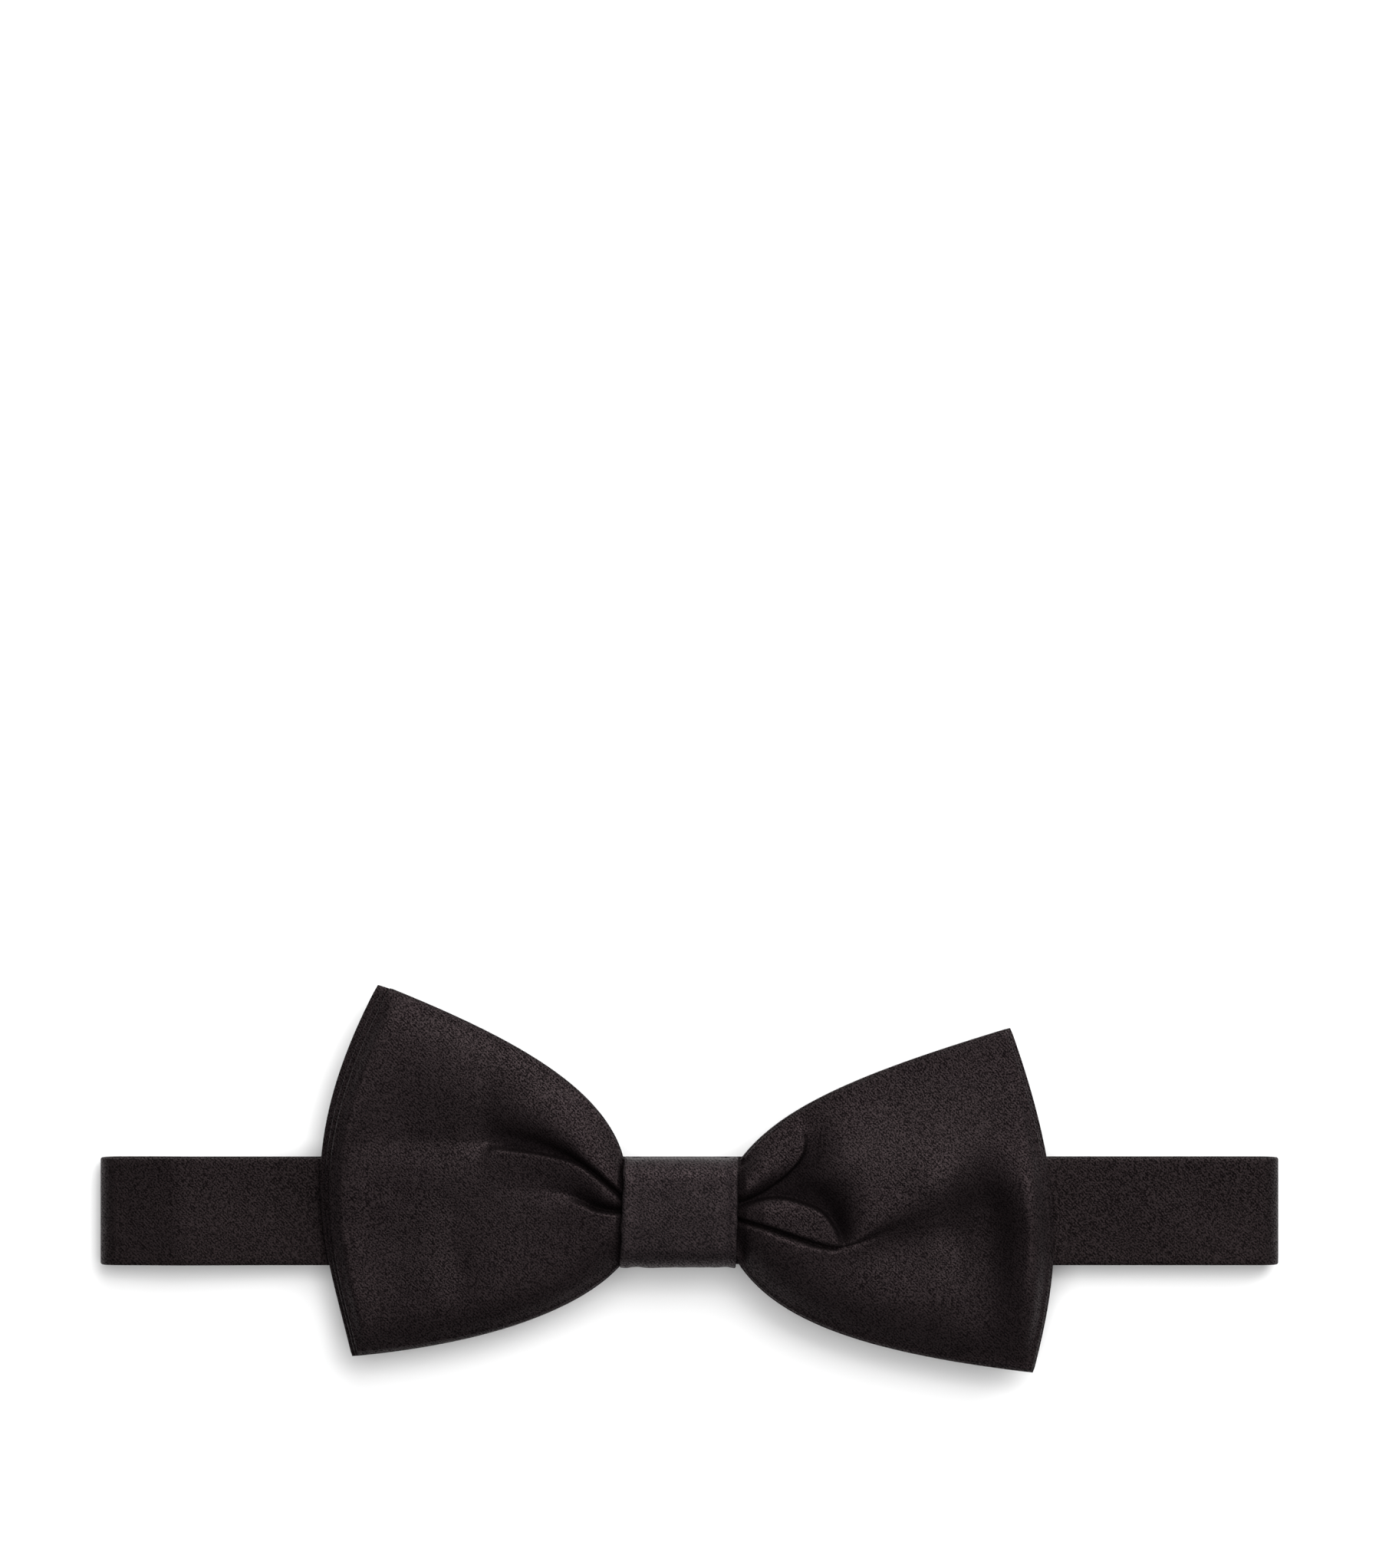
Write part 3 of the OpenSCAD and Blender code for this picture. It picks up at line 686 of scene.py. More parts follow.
def plate(outlines, thickness, edge=0.16):
    """Points and faces of a stamped plate with eased edges, flat in XY about z = 0. The first
    outline is its rim and the rest are its openings."""
    data = bpy.data.curves.new("plate", "CURVE")
    data.dimensions = "2D"
    data.fill_mode = "BOTH"
    data.extrude = thickness / 2 - edge
    data.bevel_depth = edge
    data.bevel_resolution = 2
    data.offset = -edge
    for outline in outlines:
        spline = data.splines.new("POLY")
        spline.points.add(len(outline) - 1)
        for point, at in zip(spline.points, outline):
            point.co = (at[0], at[1], 0, 1)
        spline.use_cyclic_u = True
    shape = bpy.data.objects.new("plate", data)
    bpy.context.scene.collection.objects.link(shape)
    bpy.context.view_layer.update()
    mesh = bpy.data.meshes.new_from_object(
        shape.evaluated_get(bpy.context.evaluated_depsgraph_get()))
    points = np.array([v.co[:] for v in mesh.vertices])
    faces = [tuple(p.vertices) for p in mesh.polygons]
    bpy.data.objects.remove(shape)
    bpy.data.curves.remove(data)
    bpy.data.meshes.remove(mesh)
    return points, faces


def one_mesh(name, parts, sharp=None):
    """One object from several (points, faces); edges steeper than sharp degrees stay crisp."""
    points, faces = [], []
    count = 0
    for part_points, part_faces in parts:
        points.append(np.asarray(part_points))
        faces += [tuple(i + count for i in f) for f in part_faces]
        count += len(part_points)
    piece = new_object(name, place(np.vstack(points)), faces)
    if sharp is not None:
        piece.data.set_sharp_from_angle(angle=math.radians(sharp))
    return piece


def moved(part, x=0.0, y=0.0, z=0.0, flip=False):
    """A part shifted, and first mirrored in x if flip."""
    points, faces = part
    points = np.array(points)
    if flip:
        points[:, 0] *= -1
        faces = [f[::-1] for f in faces]
    return points + [x, y, z], faces


# ---------------------------------------------------------------- materials

class Nodes:
    """Short names for building a material's nodes."""

    def __init__(self, name):
        self.material = bpy.data.materials.new(name)
        self.material.use_nodes = True
        self.tree = self.material.node_tree
        self.shader = self.tree.nodes["Principled BSDF"]
        self.place = self.add("ShaderNodeTexCoord").outputs["Object"]

    def add(self, kind, inputs=None, **settings):
        node = self.tree.nodes.new(kind)
        for key, value in settings.items():
            setattr(node, key, value)
        for key, value in (inputs or {}).items():
            if isinstance(value, bpy.types.NodeSocket):
                self.tree.links.new(value, node.inputs[key])
            else:
                node.inputs[key].default_value = value
        return node

    def math(self, operation, a, b=0.0):
        return self.add("ShaderNodeMath", {0: a, 1: b}, operation=operation).outputs[0]

    def noise(self, scale, detail=2.0, vector=None):
        return self.add("ShaderNodeTexNoise", {"Vector": vector or self.place, "Scale": scale,
                                               "Detail": detail}).outputs["Fac"]

    def ramp(self, value, low, high, to_low, to_high):
        return self.add("ShaderNodeMapRange", {"Value": value, "From Min": low,
                        "From Max": high, "To Min": to_low, "To Max": to_high}).outputs[0]

    def tint(self, value, dark, light):
        node = self.add("ShaderNodeMix", data_type="RGBA")
        self.tree.links.new(value, node.inputs[0])
        node.inputs[6].default_value = (*dark, 1)
        node.inputs[7].default_value = (*light, 1)
        return node.outputs[2]

    def bump(self, height, strength, distance, normal=None):
        inputs = {"Height": height, "Strength": strength, "Distance": distance}
        if normal is not None:
            inputs["Normal"] = normal
        return self.add("ShaderNodeBump", inputs).outputs[0]

    def set(self, **values):
        for key, value in values.items():
            socket = self.shader.inputs[key.replace("_", " ")]
            if isinstance(value, bpy.types.NodeSocket):
                self.tree.links.new(value, socket)
            else:
                socket.default_value = value


TWILL_PITCH = 0.46 * MM
SPECKLES_PER_METRE = (4200.0, 3200.0, 3800.0)
SHINE = 0.26                                 # black satin here has a low, wide shine
SHINE_IN_PAINTED_SHADE = 0.12                            # share of it that is left deep in a fold, as painted shade


def satin(name, dark, light, shine=SHINE, roughness=0.62):
    """Black satin: a fine twill that runs down to the right, with the speckle of its threads.
    Its shine is turned down where its mesh is marked as lying in a fold, a painted shade."""
    n = Nodes(name)
    turned = n.add("ShaderNodeMapping", {"Vector": n.place,
                   "Rotation": (0, 0, math.radians(-45))}).outputs[0]
    parts = n.add("ShaderNodeSeparateXYZ", {"Vector": turned}).outputs
    across = n.math("ADD", n.math("MULTIPLY", parts[0], 2 * math.pi / TWILL_PITCH),
                    n.math("MULTIPLY", n.noise(900.0, 1.0), 5.0))
    wave = n.math("ADD", n.math("MULTIPLY", n.math("SINE", across), 0.5), 0.5)
    stretched = n.add("ShaderNodeMapping", {"Vector": turned,
                      "Scale": SPECKLES_PER_METRE}).outputs[0]
    speckle = n.noise(1.0, 1.0, stretched)
    threads = n.math("ADD", n.math("MULTIPLY", wave, 0.3),
                     n.math("MULTIPLY", n.ramp(speckle, 0.42, 0.58, 0.0, 1.0), 0.7))
    broad = n.ramp(n.noise(70.0, 3.0), 0.35, 0.65, 0.0, 1.0)
    tone = n.math("ADD", n.math("MULTIPLY", threads, 0.9), n.math("MULTIPLY", broad, 0.1))
    n.set(Base_Color=n.tint(tone, dark, light),
          Roughness=n.ramp(threads, 0.0, 1.0, roughness + 0.06, roughness - 0.06),
          Normal=n.bump(threads, 0.5, 0.06 * MM))
    # painted shade: the fold mark turns the shine down in pleats and hollows
    fold = n.add("ShaderNodeAttribute", attribute_name="fold").outputs["Fac"]
    shine_dimmed_in_folds = n.math("MULTIPLY", n.ramp(tone, 0.1, 0.9, shine * 0.1, shine * 1.9),
                    n.ramp(fold, 0.0, 1.0, 1.0, SHINE_IN_PAINTED_SHADE))
    n.tree.links.new(shine_dimmed_in_folds, n.shader.inputs["Specular IOR Level"])
    n.shader.inputs["Specular Tint"].default_value = (1.0, 0.76, 0.79, 1)
    return n.material


def woven_interlining():
    n = Nodes("interlining")
    parts = n.add("ShaderNodeSeparateXYZ", {"Vector": n.place}).outputs
    pitch = 2 * math.pi / (0.6 * MM)
    warp = n.math("SINE", n.math("MULTIPLY", parts[0], pitch))
    weft = n.math("SINE", n.math("MULTIPLY", parts[1], pitch))
    weave = n.ramp(n.math("MULTIPLY", warp, weft), -1, 1, 0, 1)
    fuzz = n.noise(2500.0, 3.0)
    both = n.math("MULTIPLY", n.math("ADD", weave, fuzz), 0.5)
    n.set(Base_Color=n.tint(both, (0.05, 0.045, 0.045), (0.13, 0.12, 0.115)),
          Roughness=0.9, Normal=n.bump(both, 0.5, 0.08 * MM))
    return n.material


def sewing_thread():
    n = Nodes("thread")
    parts = n.add("ShaderNodeSeparateXYZ", {"Vector": n.place}).outputs
    twist = n.math("SINE", n.math("MULTIPLY", n.math("ADD", parts[0], parts[1]),
                                  2 * math.pi / (0.25 * MM)))
    value = n.ramp(twist, -1, 1, 0, 1)
    n.set(Base_Color=n.tint(value, (0.006, 0.005, 0.006), (0.03, 0.026, 0.028)),
          Roughness=n.ramp(value, 0, 1, 0.7, 0.45), Normal=n.bump(value, 0.6, 0.04 * MM))
    return n.material


def nickel_plate():
    """Nickel plate, rolled and lightly scratched from use."""
    n = Nodes("nickel")
    long_marks = n.add("ShaderNodeMapping", {"Vector": n.place,
                       "Scale": (300.0, 6000.0, 3000.0)}).outputs[0]
    scratches = n.noise(1.0, 4.0, long_marks)
    clouds = n.noise(220.0, 3.0)
    rough = n.math("ADD", n.ramp(scratches, 0.3, 0.7, 0.16, 0.34),
                   n.ramp(clouds, 0.35, 0.7, 0.0, 0.14))
    n.set(Base_Color=n.tint(clouds, (0.50, 0.48, 0.455), (0.68, 0.665, 0.64)), Metallic=1.0,
          Roughness=rough, Normal=n.bump(scratches, 0.12, 0.02 * MM))
    return n.material


BOW_SATIN = satin("bow_satin", (0.0022, 0.0016, 0.0018), (0.0060, 0.0045, 0.0049))
BAND_SATIN = satin("band_satin", (0.0020, 0.0015, 0.0016), (0.0056, 0.0042, 0.0044), 0.23)
# painted light: the knot's satin is a lighter, shinier copy of the bow's, so that the knot shows
# brighter than the wings
LIGHTER_KNOT_SATIN = satin("knot_satin_painted_light", (0.0036, 0.0029, 0.0032), (0.0086, 0.0070, 0.0078), 0.34)
INTERLINING = woven_interlining()
THREAD = sewing_thread()
NICKEL = nickel_plate()


def finish_piece(piece, material, slot, body, *nodes):
    piece.data.materials.append(material)
    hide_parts(*nodes)
    if body:
        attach(piece, body)
    return piece


# ---------------------------------------------------------------- the bows

# How far each ply stays inside the rear bow's face at its left and right end
FACE_STEPS = (2.2, 0.9)
BACKING_STEPS = (1.2, 0.5)
REAR_BACKING_STEPS = (0.15, 0.15)
NO_STEPS = (0, 0)
FRONT_INTERLINING_T, REAR_INTERLINING_T = 0.24, 0.22


def bow_piece(node, material, slot, cells, rows, steps, top_z, thickness, inset=0.0):
    """A ply of a bow in place of its CAD node; inset is how far it stays in from the seams."""
    rim = 0.1 if inset else 0.26
    piece = bow_ply(node + "_cloth", cells, rows, steps, top_z, thickness, rim, inset)
    finish_piece(piece, material, slot, "bow", node)


bow_piece("front_bow_face", BOW_SATIN, "bow_satin", 230, 190, FACE_STEPS, front_face_z, PLY_T)
bow_piece("front_bow_interlining", INTERLINING, "interlining", 40, 26, FACE_STEPS,
          lift(front_backing_z, 0.36), FRONT_INTERLINING_T, 0.03)
bow_piece("front_bow_backing", BOW_SATIN, "bow_satin", 60, 40, BACKING_STEPS, front_backing_z,
          BACKING_T)
bow_piece("rear_bow_face", BOW_SATIN, "bow_satin", 70, 50, NO_STEPS, rear_face_z, PLY_T)
bow_piece("rear_bow_interlining", INTERLINING, "interlining", 40, 26, NO_STEPS,
          lift(rear_face_z, -0.58), REAR_INTERLINING_T, 0.05)
bow_piece("rear_bow_backing", BOW_SATIN, "bow_satin", 110, 80, REAR_BACKING_STEPS,
          lift(rear_backing_z, BACKING_T), BACKING_T)


# ---------------------------------------------------------------- the knot

KNOT_T = 0.8
LINING_T = 0.4
ROLL_TOP, ROLL_BOTTOM = 3.8, 1.3
KNOT_DOME = 0.5
LINING_IN = 0.7                              # from the band's edge to its lining's


def knot_loop(inward, spacing=0.35):
    """The loop of the band round the waist at a depth inside its outer face: (y, z)."""
    half = KNOT_HALF_H - inward
    low, high = KNOT_LOW[2] + inward, KNOT_HIGH[2] - inward
    rt, rb = ROLL_TOP - inward, max(ROLL_BOTTOM - inward, 0.3)
    top = []
    for y, _ in straight((half - rt, high), (rt - half, high), spacing):
        top.append((y, high - KNOT_DOME * (y / KNOT_HALF_H) ** 2))
    rt_z = high - KNOT_DOME * ((half - rt) / KNOT_HALF_H) ** 2 - rt
    return joined(
        straight((rb - half, low), (half - rb, low), spacing),
        arc((half - rb, low + rb), rb, -90, 0, 7),
        straight((half, low + rb), (half, rt_z), spacing),
        arc((half - rt, rt_z), rt, 0, 90, 13),
        top,
        arc((rt - half, rt_z), rt, 90, 180, 13),
        straight((-half, rt_z), (-half, low + rb), spacing),
        arc((rb - half, low + rb), rb, 180, 270, 7))[:-1]


def knot_strip(inward, thickness, low_x, high_x, wave=None, columns=41):
    points = np.array(knot_loop(inward + thickness / 2))
    along = unit(np.roll(points, -1, axis=0) - np.roll(points, 1, axis=0))
    zero = np.zeros(len(points))
    line = np.stack([zero, points[:, 0], points[:, 1]], axis=1)
    normals = np.stack([zero, along[:, 1], -along[:, 0]], axis=1)
    down = (KNOT_HALF_H - points[:, 0]) / (2 * KNOT_HALF_H)
    return strip(line, normals, (1, 0, 0), low_x(down), high_x(down), thickness,
                 closed=True, wave=wave, columns=columns)


def knot_wave(line, side, face):
    """Small lumps, a plump folded edge on each side and a faint ridge down the front."""
    y, z = line[:, 1][:, None], line[:, 2][:, None]
    lumps = 0.07 * soft_noise(side + 0.6 * z, y + 0.4 * z, 7.0, 21)
    lumps += 0.025 * soft_noise(side, y + z, 2.2, 22)
    from_edge = KNOT_HALF_W + 0.2 - np.abs(side)
    plump = 0.16 * np.exp(-((from_edge - 0.9) / 0.7) ** 2)
    hollow = -0.10 * np.exp(-((from_edge - 2.6) / 1.0) ** 2)
    front = smooth(z, 13.0, 15.0)
    ridge = 0.11 * np.exp(-((side - 5.9 - 0.03 * y) / 0.5) ** 2) * smooth(y, 1.0, 6.0)
    return lumps + (plump + hollow) * (face > 0) + ridge * front * (face > 0)


def knot_left(down):
    rough = 0.12 * soft_noise(down * 19, down * 0, 4.0, 23)
    return -KNOT_HALF_W + 0.25 - 0.75 * down + rough


def knot_right(down):
    rough = 0.10 * soft_noise(down * 19, down * 0, 4.0, 24)
    return KNOT_HALF_W - 0.45 * down + rough


band = one_mesh("knot_band_cloth", [knot_strip(0, KNOT_T, knot_left, knot_right, knot_wave)])
# the knot wears the lighter copy of the satin, painted light
finish_piece(band, LIGHTER_KNOT_SATIN, "band_satin", "bow", "knot_band")

inner = one_mesh("knot_lining_cloth", [knot_strip(
    KNOT_T + 0.05, LINING_T - 0.1, lambda down: LINING_IN - KNOT_HALF_W + 0 * down,
    lambda down: KNOT_HALF_W - LINING_IN + 0 * down, columns=9)])
finish_piece(inner, INTERLINING, "interlining", "bow", "knot_lining")

# Thread wound round the waist of the bows
WINDINGS = 17
WINDING_R = 0.2
WINDING_SHARE = 0.87                         # its height on the bow, as a share of the knot's
WINDING_DROP = 0.15                          # of its front below the lining
WINDING_LIFT = 1.1                           # of its back, which clears the neckband
WAIST_MIDDLE_Z = 8                           # the back of a winding lies below this
winding = []
for i in range(WINDINGS):
    x = mix(-BINDING_HALF + WINDING_R, BINDING_HALF - WINDING_R, i / (WINDINGS - 1))
    loop = [(x, y * WINDING_SHARE, z - WINDING_DROP + (WINDING_LIFT if z < WAIST_MIDDLE_Z else 0))
            for y, z in knot_loop(KNOT_T + LINING_T + 0.5, 1.2)]
    loop = [p for p in loop if p[2] > REAR_Z - 0.25]
    winding.append(rod(loop + [loop[0]], WINDING_R, 6))
binding = one_mesh("waist_thread", winding)
finish_piece(binding, THREAD, "thread", "bow", "waist_binding")

# Hand stitches that close the band behind the knot
STITCHES = 7
STITCH_SLANT = math.radians(55)
STITCH_R = 0.14
STITCHES_IN = 2.0                            # from the knot's side to the outermost stitch
pitch = 2 * (KNOT_HALF_W - STITCHES_IN) / (STITCHES - 1)
stitches = []
for i in range(STITCHES):
    middle = (i - (STITCHES - 1) / 2) * pitch
    run = []
    for t in np.linspace(-1, 1, 7):
        run.append((middle + t * math.cos(STITCH_SLANT), t * math.sin(STITCH_SLANT),
                    KNOT_LOW[2] - 0.07 + 0.16 * t * t))
    stitches.append(rod(run, STITCH_R, 8))
sewing = one_mesh("knot_hand_stitches", stitches)
finish_piece(sewing, THREAD, "thread", "bow", "knot_stitches")


# ---------------------------------------------------------------- the neckband

KNOT_SIDE = KNOT_HALF_W + 0.5
KNOT_SHOULDER = 6.0
STRAP_WAIST_HALF = 8.2
FRONT_MID_Z = FRONT_Z + STRAP_T / 2
TABLE_MID_Z = STRAP_T / 2
CREASE_IN = 10.3                             # from the left fold to a pressed crease
CREASE_OUT = 17.0                            # from the crease to where it has run out
CREASE_LIFT = 1.25


def front_half(x):
    """Half the width of the front stretch, which is drawn in under the knot."""
    return mix(STRAP_WAIST_HALF, STRAP_HALF, smooth(np.abs(x), KNOT_SIDE,
                                                    KNOT_SIDE + KNOT_SHOULDER))


def front_wave(line, side, face):
    """Lie of the front stretch: slow waves, a sewn seam behind, and the crease on the left
    that it was pressed to before its fold."""
    x = line[:, 0][:, None]
    free = smooth(np.abs(x), 66, 76)
    waves = 0.10 * soft_noise(x * 0.9, side, 16.0, 31) * free
    waves = waves + 0.02 * soft_noise(x, side, 4.0, 32) * free
    from_fold = x - LEFT_FOLD_X
    crease = np.where(from_fold < CREASE_IN, from_fold / CREASE_IN,
                      1 - (from_fold - CREASE_IN) / CREASE_OUT)
    waves = waves * smooth(from_fold, 0, 4) * smooth(RIGHT_FOLD_X - x, 0, 4)
    return waves + CREASE_LIFT * np.clip(crease, 0, 1) + seam_groove(side, face)


def seam_groove(side, face):
    """The neckband is a tube, closed by a seam down the middle of its inner side."""
    return 0.16 * np.exp(-(side / 0.22) ** 2) * (face < 0)


def inner_seam(line, side, face):
    return seam_groove(side, face) + 0 * side


def cloth_strip(name, points, half, body, nodes, wave=inner_seam):
    """A stretch of the neckband along a line of (x, z)."""
    line, normals = xz_line(points)
    if normals[0][2] < 0:
        normals = -normals
    piece = one_mesh(name, [strip(line, normals, (0, 1, 0), -half, half, STRAP_T, wave=wave)],
                     60)
    finish_piece(piece, BAND_SATIN, "band_satin", body, *nodes)
    return piece


SHY = 0.03                                   # what a ply stops short of its fold
front_x = np.linspace(LEFT_FOLD_X + SHY, RIGHT_FOLD_X - SHY, 225)
cloth_strip("neckband_front_cloth", [(x, FRONT_MID_Z) for x in front_x[::-1]],
            front_half(front_x[::-1]), "bow", ["neckband_front", "neckband_front_interlining"],
            front_wave)

left_fold = cloth_strip("left_fold_cloth", arc((LEFT_FOLD_X, FOLD_OUT), FOLD_MID, 90, 270, 41),
                        STRAP_HALF, None, ["left_fold"])
right_fold = cloth_strip("right_fold_cloth",
                         arc((RIGHT_FOLD_X, FOLD_OUT), FOLD_MID, 90, -90, 41),
                         STRAP_HALF, None, ["right_fold"])

FLAT_LEN, RAMP_LEN = 6.0, 6.0
flat_end = LEFT_FOLD_X + FLAT_LEN
ramp = [(mix(flat_end, flat_end + RAMP_LEN, t), mix(TABLE_MID_Z, MAIN_Z, smooth(t)))
        for t in np.linspace(0, 1, 9)]
left_back = joined(straight((LEFT_FOLD_X + SHY, TABLE_MID_Z), (flat_end, TABLE_MID_Z), 1.0),
                   ramp, straight((flat_end + RAMP_LEN, MAIN_Z), (LEFT_END_X, MAIN_Z), 1.0))
cloth_strip("neckband_left_cloth", left_back, STRAP_HALF, "left_band",
            ["neckband_left", "neckband_left_interlining"])

BAR_GAP = 0.1                                # between a bar and the cloth round it
LOOP_MID = BAR_R + BAR_GAP + STRAP_T / 2     # middle of that cloth
right_back = joined(
    straight((RIGHT_FOLD_X - SHY, TABLE_MID_Z), (EYE_BAR[0], TABLE_MID_Z), 1.0),
    arc(EYE_BAR, LOOP_MID, 270, 90),
    straight((EYE_BAR[0], EYE_BAR[1] + LOOP_MID), (EYE_TAB_END_X, EYE_BAR[1] + LOOP_MID), 0.9))
cloth_strip("neckband_right_cloth", right_back, STRAP_HALF, "right_band",
            ["neckband_right", "neckband_right_interlining", "eye_strap_loop"])

main_line = joined(straight((LEFT_END_X, MAIN_Z), (HOOK_BAR[0], MAIN_Z), 0.9),
                   arc(HOOK_BAR, LOOP_MID, -90, 90))
main_ply = cloth_strip("adjuster_main_cloth", main_line, STRAP_HALF, None,
                       ["adjuster_main_ply", "hook_bight"])

RETURN_Z = HOOK_BAR[1] + LOOP_MID
return_ply = cloth_strip("adjuster_return_cloth", straight(
    (HOOK_BAR[0], RETURN_Z), (TAB_END_X, RETURN_Z), 0.9), STRAP_HALF, None,
    ["adjuster_return_ply"])

tab_line = joined(
    straight((TAB_END_X, SLIDE_BAR[1] + LOOP_MID), (SLIDE_BAR[0], SLIDE_BAR[1] + LOOP_MID), 0.9),
    arc(SLIDE_BAR, LOOP_MID, 90, 270),
    straight((SLIDE_BAR[0], SLIDE_BAR[1] - LOOP_MID), (TAB_END_X, SLIDE_BAR[1] - LOOP_MID), 0.9))
cloth_strip("slide_end_cloth", tab_line, STRAP_HALF, "slide", ["slide_strap_end"])


def bar_tack(name, low, high, body, node):
    """A dense bar of thread through two plies: its core, and the stitches seen outside them."""
    x = (low[0] + high[0]) / 2
    half_x, half_y = (high[0] - low[0]) / 2, high[1]
    outline = rounded(rectangle(-half_x, half_x, half_y), 0.3)
    parts = [moved(plate([outline], high[2] - low[2] + 0.04), x, 0, (low[2] + high[2]) / 2)]
    count = int(2 * half_y / 0.5)
    for z in (low[2] - STRAP_T - 0.02, high[2] + STRAP_T + 0.02):
        for i in range(count):
            y = mix(-half_y, half_y, i / (count - 1))
            lean = 0.16 if i % 2 else -0.16
            parts.append(rod([(x - half_x, y - lean, z), (x, y, z), (x + half_x, y + lean, z)],
                             0.17, 8))
    tack = one_mesh(name, parts, 50)
    finish_piece(tack, THREAD, "thread", body, node)


bar_tack("slide_tack_thread", TACK_LOW, TACK_HIGH, "slide", "slide_bar_tack")
bar_tack("eye_tack_thread", EYE_TACK_LOW, EYE_TACK_HIGH, "right_band", "eye_bar_tack")


# ---------------------------------------------------------------- hook, eye and slide

PLATE_T = 0.8
METAL_HALF = HOOK_HIGH[1]
CHEEK_W = METAL_HALF - STRAP_HALF - 0.3
CROSS_IN = BAR_R + BAR_GAP + STRAP_T + 0.6   # from a bar to the crosspiece beyond the cloth
CROSS_W = 2.4
strap_slot = rounded(rectangle(BAR_R, CROSS_IN, METAL_HALF - CHEEK_W), 0.35)

# The hook: frame, shoulders, and a tongue bent back over itself
TONGUE_HALF = 5.0
SHOULDER_HALF = 8.0
BEND_MID = 0.95
shoulder_x = CROSS_IN + CROSS_W
neck_x = shoulder_x + 3
tongue_x = HOOK_HIGH[0] - HOOK_BAR[0] - BEND_MID - PLATE_T / 2
hook_rim = rounded(mirrored([
    (-BAR_R, -METAL_HALF), (shoulder_x, -METAL_HALF), (shoulder_x, -SHOULDER_HALF),
    (neck_x, -TONGUE_HALF), (neck_x + 1, -TONGUE_HALF)]), 0.6)
TONGUE_BACK = 6.0
TIP_R = 1.2
tongue = joined(straight((neck_x + 0.5, 0), (tongue_x, 0), 0.8),
                arc((tongue_x, BEND_MID), BEND_MID, -90, 90, 15),
                straight((tongue_x, 2 * BEND_MID), (tongue_x - TONGUE_BACK, 2 * BEND_MID), 0.4))
tongue_line, tongue_normals = xz_line(tongue)
from_tip = np.hypot(tongue_line[:, 0] - tongue[-1][0], tongue_line[:, 2] - tongue[-1][1])
on_top = tongue_line[:, 2] > BEND_MID
rounding = np.sqrt(np.maximum(0, TIP_R ** 2 - (TIP_R - from_tip) ** 2))
tip_half = np.where(on_top & (from_tip < TIP_R), TONGUE_HALF - TIP_R + rounding, TONGUE_HALF)
hook_parts = [moved(plate([hook_rim, strap_slot], PLATE_T), HOOK_BAR[0], 0, HOOK_BAR[1]),
              moved(strip(tongue_line, tongue_normals, (0, 1, 0), -tip_half, tip_half,
                          PLATE_T, columns=9), HOOK_BAR[0], 0, HOOK_BAR[1])]
hook = one_mesh("hook_plated", hook_parts, 45)
finish_piece(hook, NICKEL, "nickel", "hook", "hook")

# The eye: the same frame, with a window for the tongue
EYE_LEN = EYE_BAR[0] - EYE_LOW[0]
END_BAR_W = 1.6
WINDOW_HALF = TONGUE_HALF + 0.8
RING_HALF = WINDOW_HALF + CROSS_W
eye_rim = rounded(mirrored([(-BAR_R, -METAL_HALF), (shoulder_x, -METAL_HALF),
                            (shoulder_x, -RING_HALF), (EYE_LEN, -RING_HALF)]), 0.9)
window = rounded(rectangle(shoulder_x, EYE_LEN - END_BAR_W, WINDOW_HALF), 0.5)
eye_plate = moved(plate([eye_rim, strap_slot, window], PLATE_T), flip=True)
eye = one_mesh("eye_plated", [moved(eye_plate, EYE_BAR[0], 0, EYE_BAR[1])], 45)
finish_piece(eye, NICKEL, "nickel", "eye", "eye")

# The slide: two arched cheeks, two low bars and a raised bar between them
SLIDE_HALF = (SLIDE_HIGH[0] - SLIDE_LOW[0]) / 2
SLIDE_BAR_T = 0.6
cheek = rounded([(-SLIDE_HALF, 0), (SLIDE_HALF, 0), (SLIDE_HALF, 2 * SLIDE_BAR_T),
                 (BAR_R + 0.6, SLIDE_HIGH[2]), (-BAR_R - 0.6, SLIDE_HIGH[2]),
                 (-SLIDE_HALF, 2 * SLIDE_BAR_T)], 0.5)
cheek_points, cheek_faces = plate([cheek], CHEEK_W)
cheek_points = cheek_points[:, [0, 2, 1]]
slide_parts = [rod([(0, -METAL_HALF + 0.6, SLIDE_BAR[1]), (0, 0, SLIDE_BAR[1]),
                    (0, METAL_HALF - 0.6, SLIDE_BAR[1])], BAR_R, 20)]
for side in (-1, 1):
    middle = side * (METAL_HALF - CHEEK_W / 2)
    slide_parts.append((cheek_points + [0, middle, 0], [f[::-1] for f in cheek_faces]))
    bar = rounded(rectangle(-CHEEK_W / 2, CHEEK_W / 2, METAL_HALF - 0.1), 0.3)
    slide_parts.append(moved(plate([bar], SLIDE_BAR_T), side * (SLIDE_HALF - CHEEK_W / 2), 0,
                             SLIDE_BAR_T / 2))
slide = one_mesh("slide_plated", [moved(p, SLIDE_BAR[0]) for p in slide_parts], 45)
finish_piece(slide, NICKEL, "nickel", "slide", "slide_adjuster")


# ---------------------------------------------------------------- cloth that crosses joints

def across(x, z):
    """A place on the middle plane, in the frame."""
    return tuple(place([(x, 0, z)])[0])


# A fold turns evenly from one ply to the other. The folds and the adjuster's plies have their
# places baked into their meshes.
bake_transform(left_fold)
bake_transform(right_fold)
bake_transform(main_ply)
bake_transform(return_ply)


# ---------------------------------------------------------------- stage

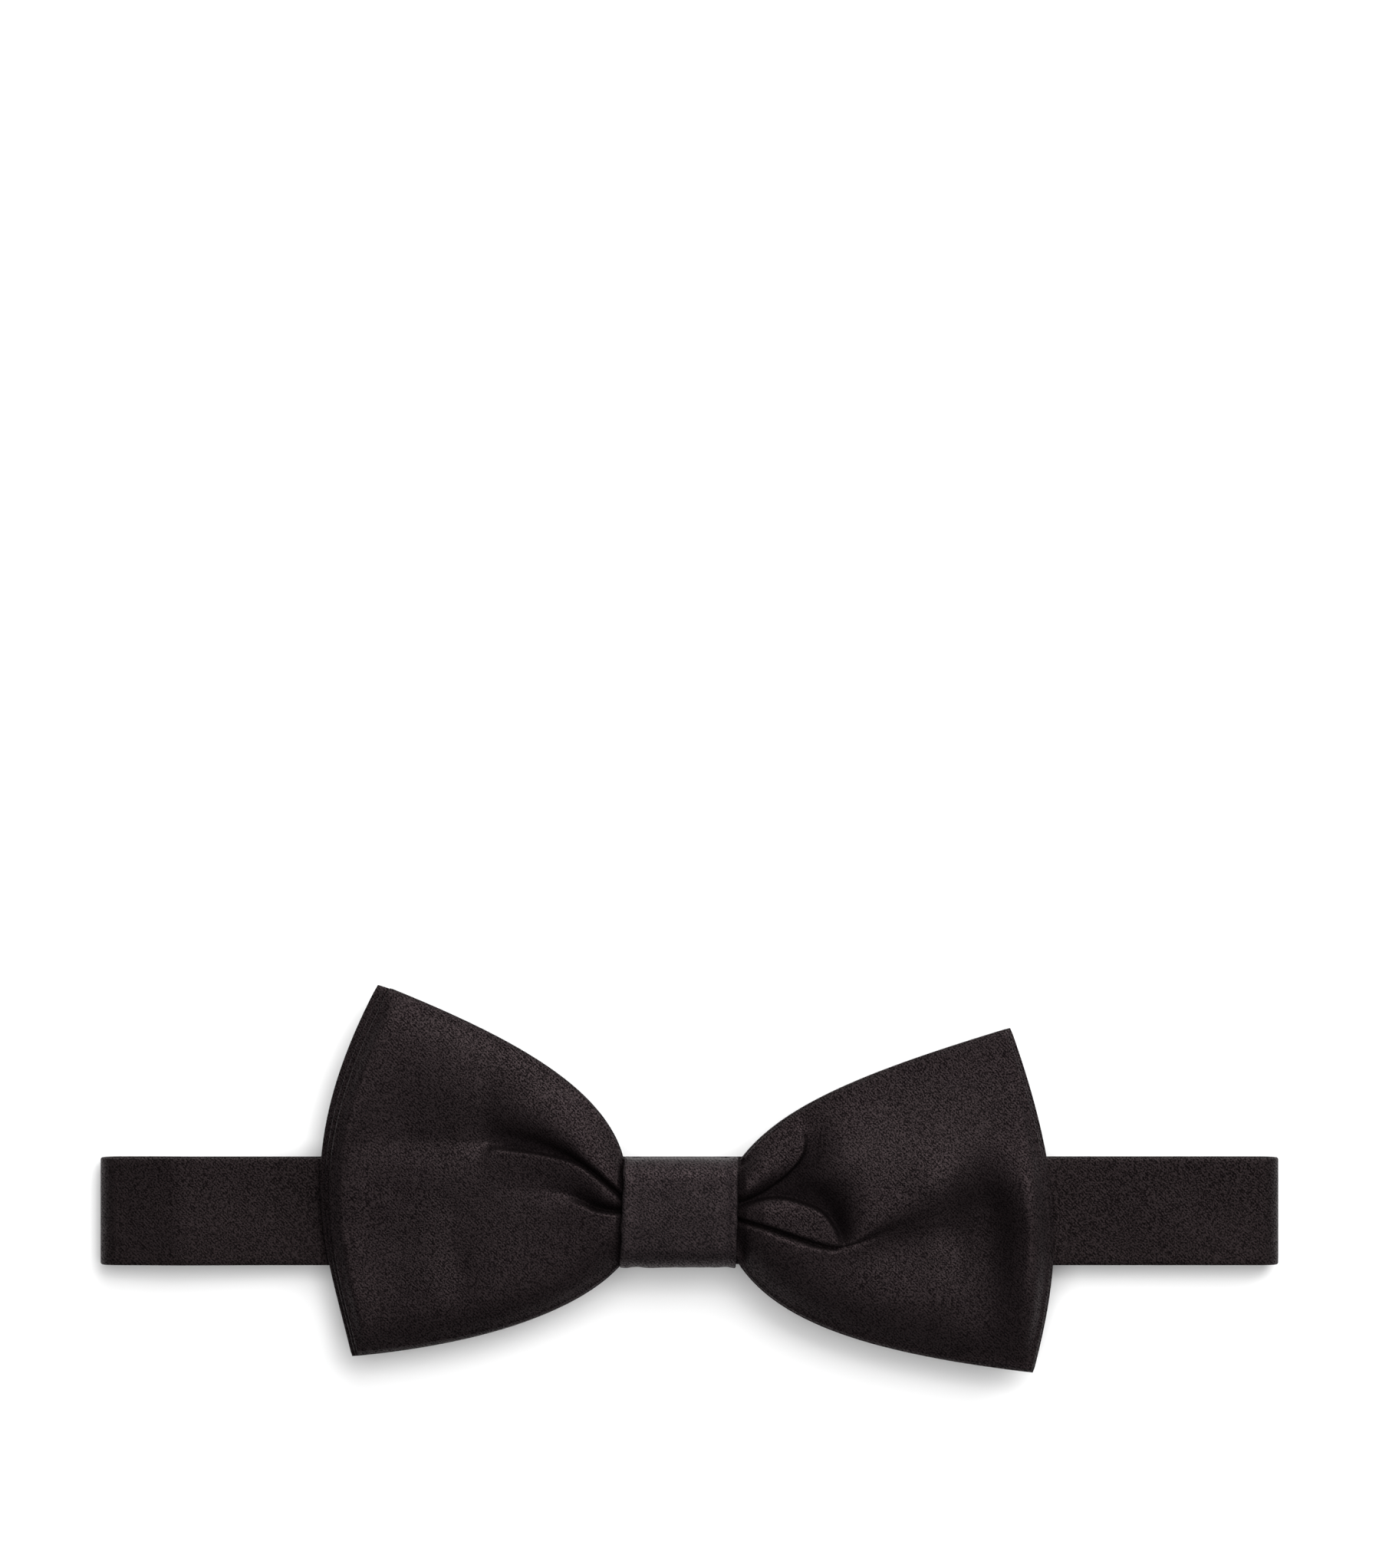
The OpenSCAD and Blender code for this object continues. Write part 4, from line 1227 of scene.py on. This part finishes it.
def make_floor():
    size = 3.0
    points = [(-size, -size, 0), (size, -size, 0), (size, size, 0), (-size, size, 0)]
    floor = new_object("table", points, [(0, 1, 2, 3)], smooth_shading=False)
    n = Nodes("table_white")
    grain = n.noise(40.0, 3.0)
    n.set(Base_Color=n.tint(grain, (0.90, 0.90, 0.90), (0.93, 0.93, 0.93)), Roughness=0.85)
    n.shader.inputs["Specular IOR Level"].default_value = 0.1
    floor.data.materials.append(n.material)


def area_light(name, size, power, azimuth, elevation, distance, glossy=True):
    """A square light that faces the tie. Azimuth is counted from +Y towards +X."""
    data = bpy.data.lights.new(name, "AREA")
    data.shape = "SQUARE"
    data.size = size
    data.energy = power
    light = bpy.data.objects.new(name, data)
    az, el = math.radians(azimuth), math.radians(elevation)
    away = Vector((math.sin(az) * math.cos(el), math.cos(az) * math.cos(el), math.sin(el)))
    light.location = KNOT + away * distance
    light.rotation_euler = away.to_track_quat("Z", "Y").to_euler()
    light.visible_glossy = glossy
    bpy.context.scene.collection.objects.link(light)


def make_world(strength):
    world = bpy.data.worlds.new("studio")
    world.use_nodes = True
    background = world.node_tree.nodes["Background"]
    background.inputs["Color"].default_value = (1, 1, 1, 1)
    background.inputs["Strength"].default_value = strength
    bpy.context.scene.world = world


# The picture is taller than the object: the tie lies low in it
VIEW_WIDTH = 0.24396
VIEW_SHIFT = (1.56, 75.6)                    # from the knot to the middle of the picture, mm
CAMERA_HEIGHT = 1.6
LENS = 100.0
PICTURE_SHAPE = 2044 / 1798                  # its height over its width


def make_camera():
    data = bpy.data.cameras.new("camera")
    data.lens = LENS
    data.sensor_fit = "VERTICAL"
    view_height = VIEW_WIDTH * PICTURE_SHAPE
    subject_z = FRONT_Z * MM
    data.sensor_height = LENS * view_height / (CAMERA_HEIGHT - subject_z)
    data.clip_start = 0.01
    camera = bpy.data.objects.new("camera", data)
    camera.location = (KNOT.x + VIEW_SHIFT[0] * MM, KNOT.y + VIEW_SHIFT[1] * MM, CAMERA_HEIGHT)
    bpy.context.scene.collection.objects.link(camera)
    bpy.context.scene.camera = camera


make_floor()
make_camera()
make_world(0.08)
area_light("key", size=1.25, power=22.0, azimuth=28, elevation=48, distance=1.3)
area_light("overhead_fill", size=1.4, power=20.0, azimuth=0, elevation=90, distance=1.5,
           glossy=False)
bpy.context.scene.view_settings.view_transform = "Standard"
